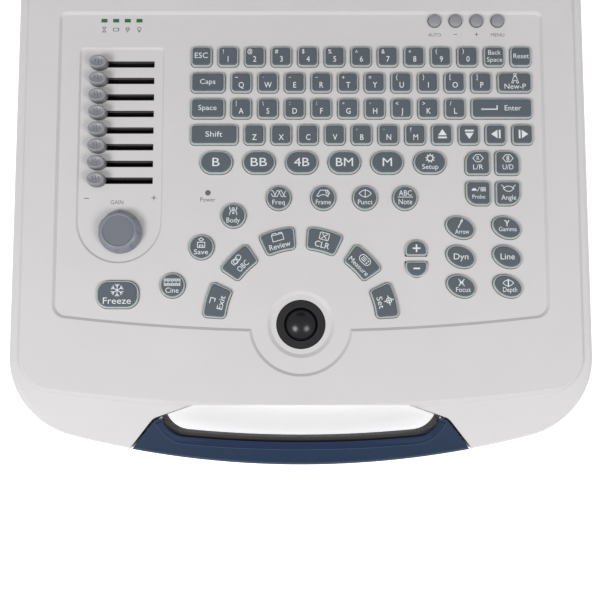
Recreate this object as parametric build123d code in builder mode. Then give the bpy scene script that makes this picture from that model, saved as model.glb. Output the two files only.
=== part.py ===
from build123d import *
from math import atan2, cos, degrees, pi, radians, sin, sqrt, tan
import os

# A laptop-style ultrasound scanner: a moulded base with a keypad deck, a trackball, gain sliders and a carrying
# handle in front, and a hinged screen behind. Lengths are millimetres. Plan positions x and y are counted from the
# trackball's axis, which DECK_Y places in the part's frame. Heights are counted from the table.

# ---------------------------------------------------------------- driving dimensions: the case
CASE_WIDTH = 364.0
CASE_FRONT = 87.6  # from the trackball's axis forward to the handle's nose
CASE_REAR = 264.5  # from the trackball's axis back to the rear wall
FRONT_BOW_R = 565.0
FRONT_CORNER_R = 52.0
REAR_CORNER_R = 18.0
CASE_WALL = 2.8
FOOT_HEIGHT = 4.0
PARTING_Z = 46.0
BORDER_Z = 65.5
CASE_EDGE_R = 3.5
LOWER_DRAFT = 3.0
FRONT_SLOPE_Y = -25.0  # where the top starts to curve down to the handle
FRONT_SLOPE_R = 165.0
FRONT_LIFT_Y = -20.0  # where the underside starts to curve up
FRONT_LIFT_R = 130.0

# the raised deck and its sunken control panel
DECK_MARGIN = 8.0  # side border between the case's edge and the deck
DECK_FRONT = 49.7
DECK_BOW_R = 1225.0
DECK_CORNER_R = 20.0
DECK_REAR_MARGIN = 5.5
DECK_RISE = 2.5
PANEL_HALF_WIDTH = 155.0
PANEL_REAR = 201.3
PANEL_FRONT = 5.0
PANEL_BOW_R = 1258.0
PANEL_CORNER_R = 9.0
PANEL_DEPTH = 1.5
PANEL_SLOPE = 50  # the edges of the sunken panels, in degrees from upright
BALL_LOBE_R = 32.5
GAIN_DEPTH = 1.0
DECK_WALL = 2.5

# the handle and the finger gap behind it
NOTCH_HALF_WIDTH = 68.8
NOTCH_Y = -50.0
KNEE_X, KNEE_Y = 92.0, -58.3
HANDLE_END_X, HANDLE_END_Y = 108.2, -78.5
NOTCH_CORNER_R = 24.0
KNEE_R = 8.0
GRIP_REAR = -70.2  # rear face of the grip at the middle
GRIP_BOW_R = 765.0
GRIP_END_R = 18.0
GRIP_FLOOR_Z = 26.0
COVER_INSET = 3.0  # the core shows this far behind the cover
COVER_WALL = 2.6
COVER_CHAMFER = 1.5
COVER_SEAM = 1.5
HANDLE_BAND = 22.0  # height of the core's bare rear face

# ---------------------------------------------------------------- driving dimensions: keys and controls
KEY_PITCH = 17.0
KEY_CAP = 11.0
KEY_CORNER_R = 1.6
KEY_RIM = 1.1  # how far the skirt shows round the cap
KEY_HEIGHT = 2.8
KEY_GAP = 0.35
KEY_LIP = 0.9  # the hidden flange reaches this far beyond the rim
KEY_LIP_HEIGHT = 1.7
KEY_TRAVEL = 1.2
ROW_LEFT = -69.0  # left edge of the typing keys' caps
ROW_RIGHT = 146.0
FIRST_ROW_Y = 171.3
LETTER_X = -38.0  # first letter of the second and third rows
LOWER_LETTER_X = -29.5
MODE_ROW_Y = 102.3
MODE_X, MODE_PITCH = -53.5, 27.0
MODE_CAP = (18.5, 12.6)
FLIP_X, FLIP_Y, FLIP_PITCH_X, FLIP_PITCH_Y = 111.7, 102.0, 18.8, 19.5
FLIP_CAP, FLIP_BIG_R = 13.4, 6.0
ROUND_CAP = 13.5
ROUND_ROW_Y = 79.5
ROUND_ROW_X = (-14.0, 14.1, 40.4, 65.6)
STORE_PLACES = ((-42.4, 68.2), (-62.3, 48.2), (-80.1, 24.1))
FREEZE_PLACE, FREEZE_CAP, FREEZE_CORNER_R = (-114.2, 18.4), (24.0, 15.1), 6.0
ARC_R, ARC_STEP = 54.2, 30.0
ARC_CAP_RADIAL, ARC_CAP_SWEEP, ARC_CAP_CORNER_R = 12.2, 18.6, 1.6
ADJUST_X, ADJUST_Y, ADJUST_SPLIT = 72.2, 41.0, 5.7
ADJUST_CAP = (5.7, 7.8)
IMAGE_X, IMAGE_Y, IMAGE_PITCH_X, IMAGE_PITCH_Y = 99.9, 60.7, 29.1, 18.5
IMAGE_CAP, IMAGE_TURN = (8.45, 5.75), -25.0
MONITOR_X, MONITOR_Y, MONITOR_PITCH, MONITOR_CAP = 85.9, 195.3, 13.5, 6.0
MAT_GAP = 0.3
MAT_THICKNESS = 1.5
BOARD_THICKNESS = 1.6

GAIN_X, GAIN_HALF_WIDTH, GAIN_TOP_Y, GAIN_ROUND_Y = -114.6, 27.2, 178.0, 65.4
SLIDER_COUNT, SLIDER_Y, SLIDER_PITCH = 8, 167.1, 10.85
SLIDER_X, SLIDER_TRAVEL = -129.0, 30.0
SLOT_WIDTH = 4.3
SLOT_LEFT, SLOT_RIGHT = -131.6, -93.8
STEM_LENGTH, STEM_WIDTH = 4.0, 2.0
SLIDER_CAP = (6.0, 4.5)  # half-axes of the knob's foot
SLIDER_TAPER = 5.0
SLIDER_HEIGHT = 6.5
SLIDER_RIM = 1.6
SLIDER_FLOAT = 0.5
FELT_DEPTH, FELT_THICKNESS, FELT_SLIT = 0.8, 0.8, 2.8
KNOB_X, KNOB_Y, KNOB_R, KNOB_HEIGHT, KNOB_FLOAT = -113.6, 58.0, 13.75, 7.0, 0.6
KNOB_TOP_R, KNOB_SCALLOPS, SCALLOP_R, SCALLOP_DEPTH = 11.2, 8, 3.0, 0.5
KNOB_SHAFT_R, KNOB_BUSH_R = 3.0, 4.5
SHAFT_GAP = 0.05
STATUS_X, STATUS_Y, STATUS_PITCH, STATUS_SIZE = -126.4, 195.7, 7.5, (3.6, 2.1)
POWER_LIGHT_PLACE, POWER_LIGHT_R = (-58.7, 83.1), 1.6

BALL_R = 12.5
BALL_RISE = 3.5  # how far the ball stands above its ring
BALL_HOLE_R = 9.7
BALL_GAP = 0.3
RING_R, RING_THICKNESS = 15.3, 2.0
DISH_R, DISH_DEPTH = 21.0, 1.4
RING_GAP = 0.15
SPANNER_R, SPANNER_HOLE_R, SPANNER_TURN = 12.4, 0.5, 20.0
BEARING_R = 1.5
BEARING_DROP = 35.0  # degrees below the ball's equator

# ---------------------------------------------------------------- driving dimensions: the screen
HINGE_Y = 243.0
HINGE_RISE = 18.0  # axis above the deck
LID_TILT = 20.0  # lean behind upright at rest
LID_WIDTH = 340.0
LID_HEIGHT = 266.0
LID_FOOT = 14.0  # from the hinge axis up to the lid's lower edge
LID_CORNER_R = 14.0
LID_BACK = 15.0  # behind the hinge axis
LID_BACK_EDGE_R = 6.0
LID_SPLIT = -2.0
LID_WALL = 2.4
BEZEL_FACE = 6.0
LIP_FACE = 15.0
LIP_WIDTH, LIP_SLOPE = 5.0, 35.0
SCREEN_SIZE = (304.0, 228.0)
LCD_SIZE, LCD_FRONT, LCD_BACK = (316.0, 240.0), 3.3, -6.5
BUMPER_R, BUMPER_GAP = 2.0, 0.4
LID_SCREW_X, LID_SCREW_ENDS, LID_BOSS_R = 162.8, 46.0, 3.2
EAR_X, EAR_WIDTH, EAR_R = 127.0, 28.0, 12.0
TOWER_X, TOWER_WIDTH, TOWER_R = 96.0, 30.0, 12.5
HINGE_PIN_R, HINGE_BARREL_R, HINGE_PIN_GAP = 3.0, 6.5, 0.05
WEB_THICKNESS = 4.0
LEAF_WIDTH, LEAF_THICKNESS, LEAF_N, LEAF_TOP = 20.0, 2.0, -9.5, 62.0

# ---------------------------------------------------------------- driving dimensions: fasteners, ports, inner parts
SCREW_PLACES = ((165.0, 8.0), (165.0, 92.0), (158.0, 250.0), (60.0, -38.0))
SCREW_R, SCREW_HEAD_R, SCREW_HEAD, SCREW_SEAT_Z = 1.2, 3.0, 2.0, 12.0
SCREW_CLEAR, PILOT_CLEAR = 0.4, 0.05
BOSS_R, BOSS_SPLIT_Z, SCREW_TIP_Z = 5.6, 40.0, 52.0
FOOT_R, FOOT_X, FOOT_FRONT_Y, FOOT_REAR_Y = 9.0, 142.0, 0.0, 232.0
PORT_Z = 27.0
PROBE_PLACES, PROBE_SIZE, PROBE_MOUTH = (62.0, 122.0), (46.0, 26.0), (38.0, 18.0)
PROBE_DEPTH, PROBE_MOUTH_DEPTH, PROBE_PINS = 26.0, 14.0, (13, 5)
INLET_X, INLET_SIZE, INLET_MOUTH, INLET_DEPTH = -128.0, (31.0, 24.0), (24.0, 16.5), 22.0
SWITCH_X, SWITCH_SIZE, ROCKER_SIZE, ROCKER_SWING = -98.0, (19.0, 24.0), (12.0, 18.0), 14.0
VGA_X, LAN_X, BNC_X, USB_X, USB_PITCH = -55.0, -12.0, 22.0, 60.0, 26.0
VENT_SIZE, VENT_PITCH, VENT_COUNT = (3.0, 24.0), 6.0, 8
FAN_Y, FAN_SIZE, FAN_DEPTH, FAN_HUB_R, FAN_BLADES = 130.0, 34.0, 10.0, 7.0, 7
RIGHT_VENT_Y = 205.0
DOOR_SIZE, DOOR_Y, DOOR_GAP = (130.0, 78.0), 60.0, 0.3
BATTERY_SIZE = (124.0, 72.0, 19.0)
MAIN_BOARD_SIZE, MAIN_BOARD_Z, MAIN_BOARD_Y = (210.0, 150.0), 31.0, 125.0
SUPPLY_SIZE, SUPPLY_X, SUPPLY_Y = (60.0, 60.0, 30.0), -138.0, 205.0

# ---------------------------------------------------------------- what follows from them
HALF_WIDTH = CASE_WIDTH / 2
FLOOR_Z = FOOT_HEIGHT
DECK_Z = BORDER_Z + DECK_RISE
PANEL_Z = DECK_Z - PANEL_DEPTH
GAIN_Z = PANEL_Z - GAIN_DEPTH
UNDERSIDE_Z = GAIN_Z - DECK_WALL
HINGE_Z = DECK_Z + HINGE_RISE
LID_TOP = LID_FOOT + LID_HEIGHT
TILT = radians(LID_TILT)
REAR_REACH = (
    HINGE_Y
    + (LID_TOP - LID_BACK_EDGE_R) * sin(TILT)
    + (LID_BACK - LID_BACK_EDGE_R) * cos(TILT)
    + LID_BACK_EDGE_R
)
DECK_Y = (CASE_FRONT - REAR_REACH) / 2  # puts the frame's origin under the middle of the whole object
KEY_TOP_Z = PANEL_Z + KEY_HEIGHT
KEY_FOOT_Z = UNDERSIDE_Z - MAT_GAP - KEY_LIP_HEIGHT
MAT_Z = KEY_FOOT_Z - KEY_TRAVEL - MAT_GAP - MAT_THICKNESS
KEY_BOARD_Z = MAT_Z - BOARD_THICKNESS
RING_TOP_Z = PANEL_Z - DISH_DEPTH
BALL_Z = RING_TOP_Z + BALL_RISE - BALL_R
SLIDER_LAST_Y = SLIDER_Y - (SLIDER_COUNT - 1) * SLIDER_PITCH
WALL_SHIFT = (PARTING_Z - PORT_Z) * tan(radians(LOWER_DRAFT))  # how far the draft brings the wall in at the ports
RIGHT_WALL_X = HALF_WIDTH - WALL_SHIFT
REAR_WALL_Y = CASE_REAR - WALL_SHIFT


def level(z):
    """A horizontal working plane at height z, with its origin on the trackball's axis."""
    return Plane((0, DECK_Y, z))


SIDE = Plane(origin=(0, DECK_Y, 0), x_dir=(0, 1, 0), z_dir=(1, 0, 0))  # local x runs back, local y runs up
REAR = Plane(origin=(0, DECK_Y, 0), x_dir=(-1, 0, 0), z_dir=(0, 1, 0))  # seen from behind: local x is -x, y is up
HINGE = Plane(origin=(0, DECK_Y + HINGE_Y, HINGE_Z), x_dir=(0, 1, 0), z_dir=(1, 0, 0))
# on the lid, local x runs across, local y up the lid from the hinge axis and local z out of the screen
LID_NORMAL = (0, -cos(TILT), sin(TILT))
LID = Plane(origin=(0, DECK_Y + HINGE_Y, HINGE_Z), x_dir=(1, 0, 0), z_dir=LID_NORMAL)
# across the lid: local x runs out of the screen's back and local y up the lid
LID_EDGE = Plane(origin=(0, DECK_Y + HINGE_Y, HINGE_Z), x_dir=(0, cos(TILT), -sin(TILT)), z_dir=(1, 0, 0))


def lid_level(n):
    """The working plane in the lid that lies n in front of the hinge axis."""
    return LID.offset(n)


def save(part, name):
    """Labels a finished piece and writes it as its own STEP file."""
    part.label = name
    os.makedirs("parts", exist_ok=True)
    export_step(part, f"parts/{name}.step")


# ---------------------------------------------------------------- outlines in plan
def bowed_outline(half_width, front, rear, bow_r, front_corner_r, rear_corner_r):
    """A rectangle whose front side bows forward, with round corners."""
    side_y = -front + bow_r - sqrt(bow_r**2 - half_width**2)
    with BuildSketch() as plan:
        with BuildLine():
            Polyline((half_width, side_y), (half_width, rear), (-half_width, rear), (-half_width, side_y))
            ThreePointArc((-half_width, side_y), (0, -front), (half_width, side_y))
        make_face()
        fillet(plan.vertices().sort_by(Axis.Y)[:2], front_corner_r)
        fillet(plan.vertices().sort_by(Axis.Y)[-2:], rear_corner_r)
    return plan.sketch


CASE_PLAN = bowed_outline(HALF_WIDTH, CASE_FRONT, CASE_REAR, FRONT_BOW_R, FRONT_CORNER_R, REAR_CORNER_R)
DECK_PLAN = bowed_outline(
    HALF_WIDTH - DECK_MARGIN,
    DECK_FRONT,
    CASE_REAR - DECK_REAR_MARGIN,
    DECK_BOW_R,
    DECK_CORNER_R,
    REAR_CORNER_R - DECK_REAR_MARGIN,
)


def notch_outline(inset):
    """The plan of the cut for the handle, with its slanted ends moved out by inset."""
    slant = atan2(KNEE_Y - HANDLE_END_Y, HANDLE_END_X - KNEE_X)
    reach = CASE_FRONT
    far_x = HANDLE_END_X + reach * cos(slant)
    far_y = HANDLE_END_Y - reach * sin(slant)
    with BuildSketch() as plan:
        with BuildLine():
            Polyline(
                (-far_x, far_y),
                (-KNEE_X, KNEE_Y),
                (-NOTCH_HALF_WIDTH, NOTCH_Y),
                (NOTCH_HALF_WIDTH, NOTCH_Y),
                (KNEE_X, KNEE_Y),
                (far_x, far_y),
                close=True,
            )
        make_face()
        fillet(plan.vertices().group_by(Axis.Y)[-1], NOTCH_CORNER_R)
        fillet(plan.vertices().sort_by(lambda v: abs(v.Y - KNEE_Y))[:2], KNEE_R)
        if inset:
            offset(amount=-inset)
    return plan.sketch


NOTCH_PLAN = notch_outline(0)


def grip_outline(setback):
    """The plan of all that lies in front of the grip's rear face, moved forward by setback."""
    rear = GRIP_REAR - setback
    end_x = KNEE_X - GRIP_END_R / 2
    end_y = rear + GRIP_BOW_R - sqrt(GRIP_BOW_R**2 - end_x**2)
    with BuildSketch() as plan:
        with BuildLine():
            ThreePointArc((-end_x, end_y), (0, rear), (end_x, end_y))
            Polyline(
                (end_x, end_y),
                (KNEE_X - COVER_INSET, KNEE_Y + COVER_INSET),
                (KNEE_X + CASE_FRONT, KNEE_Y),
                (KNEE_X + CASE_FRONT, -2 * CASE_FRONT),
                (-KNEE_X - CASE_FRONT, -2 * CASE_FRONT),
                (-KNEE_X - CASE_FRONT, KNEE_Y),
                (-KNEE_X + COVER_INSET, KNEE_Y + COVER_INSET),
                (-end_x, end_y),
            )
        make_face()
        fillet(plan.vertices().sort_by(lambda v: abs(abs(v.X) - end_x))[:2], GRIP_END_R)
    return plan.sketch


def side_outline(top_z, floor_z, slope_r, lift_r):
    """The case's side view: flat, with the top curving down and the floor curving up towards the handle."""
    nose = -CASE_FRONT - CASE_EDGE_R
    far = CASE_REAR + CASE_EDGE_R
    slope_z = top_z - slope_r + sqrt(slope_r**2 - (nose - FRONT_SLOPE_Y) ** 2)
    lift_z = floor_z + lift_r - sqrt(lift_r**2 - (nose - FRONT_LIFT_Y) ** 2)
    with BuildSketch() as view:
        with BuildLine():
            Line((far, floor_z), (far, top_z))
            Line((far, top_z), (FRONT_SLOPE_Y, top_z))
            TangentArc((FRONT_SLOPE_Y, top_z), (nose, slope_z), tangent=(-1, 0))
            Line((nose, slope_z), (nose, lift_z))
            TangentArc((FRONT_LIFT_Y, floor_z), (nose, lift_z), tangent=(-1, 0))
            Line((FRONT_LIFT_Y, floor_z), (far, floor_z))
        make_face()
    return view.sketch


OUTER_SIDE = side_outline(BORDER_Z, FLOOR_Z, FRONT_SLOPE_R, FRONT_LIFT_R)
INNER_SIDE = side_outline(UNDERSIDE_Z, FLOOR_Z + CASE_WALL, FRONT_SLOPE_R - CASE_WALL, FRONT_LIFT_R + CASE_WALL)


def panel_outline():
    """The sunken panel: a bow-fronted rectangle with a round lobe about the trackball."""
    with BuildSketch() as plan:
        add(
            bowed_outline(
                PANEL_HALF_WIDTH, PANEL_FRONT, PANEL_REAR, PANEL_BOW_R, PANEL_CORNER_R, PANEL_CORNER_R / 2
            )
        )
        Circle(BALL_LOBE_R)
    return plan.sketch


def gain_outline():
    """The gain panel: square at the top and half round at the bottom."""
    with BuildSketch() as plan:
        with Locations((GAIN_X, (GAIN_TOP_Y + GAIN_ROUND_Y) / 2)):
            RectangleRounded(2 * GAIN_HALF_WIDTH, GAIN_TOP_Y - GAIN_ROUND_Y, 3)
        with Locations((GAIN_X, GAIN_ROUND_Y)):
            Circle(GAIN_HALF_WIDTH)
            Rectangle(2 * GAIN_HALF_WIDTH, 8, align=(Align.CENTER, Align.MIN))
    return plan.sketch


# ---------------------------------------------------------------- key outlines
def rounded(size, grow):
    """A rounded rectangle: size is width, height and corner radius."""
    width, height, corner = size
    with BuildSketch() as face:
        RectangleRounded(width + 2 * grow, height + 2 * grow, corner + grow)
    return face.sketch


def disc(size, grow):
    """A round cap: size is its diameter."""
    with BuildSketch() as face:
        Circle(size / 2 + grow)
    return face.sketch


def oval(size, grow):
    """An elliptical cap: size is its two half-axes."""
    with BuildSketch() as face:
        Ellipse(size[0] + grow, size[1] + grow)
    return face.sketch


def leaf(size, grow):
    """A square cap with one far rounder corner, the upper left: size is width, small and big radius."""
    width, small, big = size
    half = width / 2 + grow
    with BuildSketch() as face:
        Rectangle(2 * half, 2 * half)
        upper_left = face.vertices().sort_by(lambda v: v.X - v.Y)[:1]
        fillet(upper_left, big + grow)
        others = face.vertices().sort_by(lambda v: v.X - v.Y)[2:]
        fillet(others, small + grow)
    return face.sketch


def half_oval(size, grow):
    """The upper half of an ellipse, flat below: size is half-width and height. Its flat side lies at local y = 0."""
    half_width, height = size
    with BuildSketch() as face:
        Ellipse(half_width + grow, height + grow)
        with Locations((0, -grow)):
            Rectangle(4 * half_width, 3 * height, align=(Align.CENTER, Align.MAX), mode=Mode.SUBTRACT)
        fillet(face.vertices(), KEY_CORNER_R / 3 + grow / 4)
    return face.sketch


def sector(size, grow):
    """A piece of a ring about the trackball: size is mid radius, radial width, sweep along the arc, corner radius."""
    mid_r, radial, sweep, corner = size
    inner, outer = mid_r - radial / 2 - grow, mid_r + radial / 2 + grow
    half_turn = degrees((sweep / 2 + grow) / mid_r)

    def at(radius, turn):
        return (radius * sin(radians(turn)), radius * cos(radians(turn)))

    with BuildSketch() as face:
        with BuildLine():
            ThreePointArc(at(outer, -half_turn), at(outer, 0), at(outer, half_turn))
            Line(at(outer, half_turn), at(inner, half_turn))
            ThreePointArc(at(inner, half_turn), at(inner, 0), at(inner, -half_turn))
            Line(at(inner, -half_turn), at(outer, -half_turn))
        make_face()
        fillet(face.vertices(), corner + grow)
    return face.sketch


def row_keys(y, first_x, count):
    """Square keys at the typing pitch."""
    square = (KEY_CAP, KEY_CAP, KEY_CORNER_R)
    return [(rounded, square, first_x + i * KEY_PITCH, y, 0) for i in range(count)]


def span_key(y, left, right):
    """A wide key whose cap runs from left to right."""
    return (rounded, (right - left, KEY_CAP, KEY_CORNER_R), (left + right) / 2, y, 0)


CAP_HALF = KEY_CAP / 2
CAP_SPACE = KEY_PITCH - KEY_CAP  # between the caps of neighbours
ROW_Y = [FIRST_ROW_Y - i * KEY_PITCH for i in range(4)]


LETTER_COUNTS = (10, 9)
UPPER_LAST_X = LETTER_X + (LETTER_COUNTS[0] - 1) * KEY_PITCH
HOME_LAST_X = LETTER_X + (LETTER_COUNTS[1] - 1) * KEY_PITCH
NEXT_CAP = CAP_HALF + CAP_SPACE

NUMBER_ROW_KEYS = row_keys(ROW_Y[0], ROW_LEFT + CAP_HALF, 13)
UPPER_LETTER_KEYS = [
    span_key(ROW_Y[1], ROW_LEFT, LETTER_X - NEXT_CAP),
    *row_keys(ROW_Y[1], LETTER_X, LETTER_COUNTS[0]),
    span_key(ROW_Y[1], UPPER_LAST_X + NEXT_CAP, ROW_RIGHT),
]
HOME_LETTER_KEYS = [
    span_key(ROW_Y[2], ROW_LEFT, LETTER_X - NEXT_CAP),
    *row_keys(ROW_Y[2], LETTER_X, LETTER_COUNTS[1]),
    span_key(ROW_Y[2], HOME_LAST_X + NEXT_CAP, ROW_RIGHT),
]
LOWER_LETTER_KEYS = [
    span_key(ROW_Y[3], ROW_LEFT, LOWER_LETTER_X - NEXT_CAP),
    *row_keys(ROW_Y[3], LOWER_LETTER_X, 11),
]
MODE_KEYS = [
    (rounded, (*MODE_CAP, MODE_CAP[1] / 2 - 0.01), MODE_X + i * MODE_PITCH, MODE_ROW_Y, 0) for i in range(6)
]
FLIP_KEYS = [
    (leaf, (FLIP_CAP, KEY_CORNER_R, FLIP_BIG_R), FLIP_X + i * FLIP_PITCH_X, FLIP_Y - j * FLIP_PITCH_Y, turn)
    for i, j, turn in ((0, 0, 0), (1, 0, -90), (0, 1, 90), (1, 1, 180))
]
ROUND_KEYS = [(disc, ROUND_CAP, x, ROUND_ROW_Y, 0) for x in ROUND_ROW_X]
STORE_KEYS = [(disc, ROUND_CAP, x, y, 0) for x, y in STORE_PLACES]
FREEZE_KEY = [(rounded, (*FREEZE_CAP, FREEZE_CORNER_R), *FREEZE_PLACE, 0)]
ARC_KEYS = [
    (sector, (ARC_R, ARC_CAP_RADIAL, ARC_CAP_SWEEP, ARC_CAP_CORNER_R), 0, 0, (i - 2.5) * ARC_STEP)
    for i in range(6)
]
PLUS_KEY = [(half_oval, ADJUST_CAP, ADJUST_X, ADJUST_Y + ADJUST_SPLIT / 2, 0)]
MINUS_KEY = [(half_oval, ADJUST_CAP, ADJUST_X, ADJUST_Y - ADJUST_SPLIT / 2, 180)]
IMAGE_KEYS = [
    (oval, IMAGE_CAP, IMAGE_X + i * IMAGE_PITCH_X, IMAGE_Y - j * IMAGE_PITCH_Y, IMAGE_TURN)
    for i in range(2)
    for j in range(3)
]
MONITOR_BUTTONS = [(disc, MONITOR_CAP, MONITOR_X + i * MONITOR_PITCH, MONITOR_Y, 0) for i in range(4)]
KEY_SETS = {
    "number_row_keys": NUMBER_ROW_KEYS,
    "upper_letter_keys": UPPER_LETTER_KEYS,
    "home_letter_keys": HOME_LETTER_KEYS,
    "lower_letter_keys": LOWER_LETTER_KEYS,
    "mode_keys": MODE_KEYS,
    "flip_and_probe_keys": FLIP_KEYS,
    "round_keys": ROUND_KEYS,
    "store_keys": STORE_KEYS,
    "freeze_key": FREEZE_KEY,
    "arc_keys": ARC_KEYS,
    "plus_key": PLUS_KEY,
    "minus_key": MINUS_KEY,
    "image_keys": IMAGE_KEYS,
    "monitor_buttons": MONITOR_BUTTONS,
}
ALL_KEYS = [key for keys in KEY_SETS.values() for key in keys]


def outlines(keys, grow):
    """The keys' outlines in plan, each grown all round by grow."""
    return [Pos(x, y) * Rot(0, 0, turn) * shape(size, grow) for shape, size, x, y, turn in keys]


def soften(edges, *radii):
    """Rounds the edges of the part being built with the first radius that they can take."""
    for radius in radii:
        try:
            fillet(edges, radius)
            return
        except (ValueError, RuntimeError):
            continue


# ---------------------------------------------------------------- the case
def drafted(plan, inset, side):
    """The solid between the floor and the parting line: the plan moved in by inset, with draft, inside the side view."""
    with BuildPart() as tub:
        with BuildSketch(level(PARTING_Z)):
            add(plan)
            if inset:
                offset(amount=-inset)
        extrude(amount=-PARTING_Z, taper=LOWER_DRAFT)
        with BuildSketch(SIDE):
            add(side)
        extrude(amount=CASE_WIDTH, both=True, mode=Mode.INTERSECT)
    return tub.part


def straight(plan, inset, side):
    """The solid above the parting line: the plan moved in by inset, inside the side view."""
    with BuildPart() as lump:
        with BuildSketch(level(PARTING_Z)):
            add(plan)
            if inset:
                offset(amount=-inset)
        extrude(amount=2 * DECK_Z - PARTING_Z)
        with BuildSketch(SIDE):
            add(side)
        extrude(amount=CASE_WIDTH, both=True, mode=Mode.INTERSECT)
    return lump.part


def screw_places():
    """Every case screw: the listed ones and their mirror images."""
    return [(side * x, y) for x, y in SCREW_PLACES for side in (1, -1)]


PORT_FIT = 0.2
REAR_PORTS = (
    (INLET_X, *INLET_SIZE),
    (SWITCH_X, *SWITCH_SIZE),
    (VGA_X, 31.0, 13.0),
    (LAN_X, 16.5, 14.0),
    (BNC_X, 13.0, 13.0),
    (USB_X, 14.5, 7.5),
    (USB_X + USB_PITCH, 14.5, 7.5),
)
STANDOFFS = ((98.0, 57.0), (98.0, 193.0), (-98.0, 57.0), (-98.0, 193.0))
BOARD_POSTS = ((154.0, 20.0), (154.0, 196.0), (-91.0, 197.0), (-137.0, 4.0))
BAY_WALL = 1.6

with BuildPart() as lower_case:
    # a moulded tub with draft, its front part lifted under the handle
    add(drafted(CASE_PLAN, 0, OUTER_SIDE))
    soften(lower_case.edges().group_by(Axis.Z)[0], CASE_EDGE_R, 2, 1)
    with BuildSketch(level(0)):
        add(NOTCH_PLAN)
    extrude(amount=PARTING_Z, mode=Mode.SUBTRACT)
    with BuildPart(mode=Mode.PRIVATE) as hollow:
        add(drafted(CASE_PLAN, CASE_WALL, INNER_SIDE))
        with BuildSketch(level(0)):
            add(notch_outline(-CASE_WALL))
        extrude(amount=PARTING_Z, mode=Mode.SUBTRACT)
    add(hollow.part, mode=Mode.SUBTRACT)
    # the battery bay
    with BuildSketch(level(FLOOR_Z)):
        with Locations((0, DOOR_Y)):
            Rectangle(BATTERY_SIZE[0] + 2 + 2 * BAY_WALL, BATTERY_SIZE[1] + 2 + 2 * BAY_WALL)
    extrude(amount=CASE_WALL + BATTERY_SIZE[2] * 0.7)
    with BuildSketch(level(FLOOR_Z)):
        with Locations((0, DOOR_Y)):
            Rectangle(BATTERY_SIZE[0] + 2, BATTERY_SIZE[1] + 2)
    extrude(amount=PARTING_Z - FLOOR_Z, mode=Mode.SUBTRACT)
    with BuildSketch(level(FLOOR_Z)):
        with Locations((0, DOOR_Y)):
            Rectangle(DOOR_SIZE[0] + 2 * DOOR_GAP, DOOR_SIZE[1] + 2 * DOOR_GAP)
    extrude(amount=CASE_WALL - 1, mode=Mode.SUBTRACT)
    # screw bosses and the main board's standoffs
    with BuildSketch(level(FLOOR_Z + CASE_WALL / 2)):
        with Locations(*screw_places()):
            Circle(BOSS_R)
    extrude(amount=BOSS_SPLIT_Z - FLOOR_Z - CASE_WALL / 2)
    with BuildSketch(level(FLOOR_Z + CASE_WALL / 2)):
        with Locations(*STANDOFFS):
            Circle(3.2)
    extrude(amount=MAIN_BOARD_Z - FLOOR_Z - CASE_WALL / 2)
    with BuildSketch(level(0)):
        with Locations(*screw_places()):
            Circle(SCREW_HEAD_R + SCREW_CLEAR)
    extrude(amount=SCREW_SEAT_Z, mode=Mode.SUBTRACT)
    with BuildSketch(level(0)):
        with Locations(*screw_places()):
            Circle(SCREW_R + SCREW_CLEAR)
    extrude(amount=PARTING_Z, mode=Mode.SUBTRACT)
    # the ports in the back wall
    with BuildSketch(REAR.offset(REAR_WALL_Y - 2 * CASE_WALL)):
        for x, width, height in REAR_PORTS:
            with Locations((-x, PORT_Z)):
                Rectangle(width + 2 * PORT_FIT, height + 2 * PORT_FIT)
    extrude(amount=4 * CASE_WALL, mode=Mode.SUBTRACT)
    # the probe sockets and the vents in the side walls
    with BuildSketch(SIDE.offset(RIGHT_WALL_X - 2 * CASE_WALL)):
        with Locations(*[(y, PORT_Z) for y in PROBE_PLACES]):
            Rectangle(PROBE_SIZE[0] + 2 * PORT_FIT, PROBE_SIZE[1] + 2 * PORT_FIT)
        with Locations((RIGHT_VENT_Y, PORT_Z)):
            with GridLocations(VENT_PITCH, 0, VENT_COUNT, 1):
                SlotOverall(VENT_SIZE[1], VENT_SIZE[0], rotation=90)
    extrude(amount=4 * CASE_WALL, mode=Mode.SUBTRACT)
    with BuildSketch(SIDE.offset(-RIGHT_WALL_X + 2 * CASE_WALL)):
        with Locations((FAN_Y, PORT_Z)):
            with GridLocations(VENT_PITCH, 0, VENT_COUNT - 2, 1):
                SlotOverall(VENT_SIZE[1], VENT_SIZE[0], rotation=90)
    extrude(amount=-4 * CASE_WALL, mode=Mode.SUBTRACT)
save(lower_case.part, "lower_case")

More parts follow.
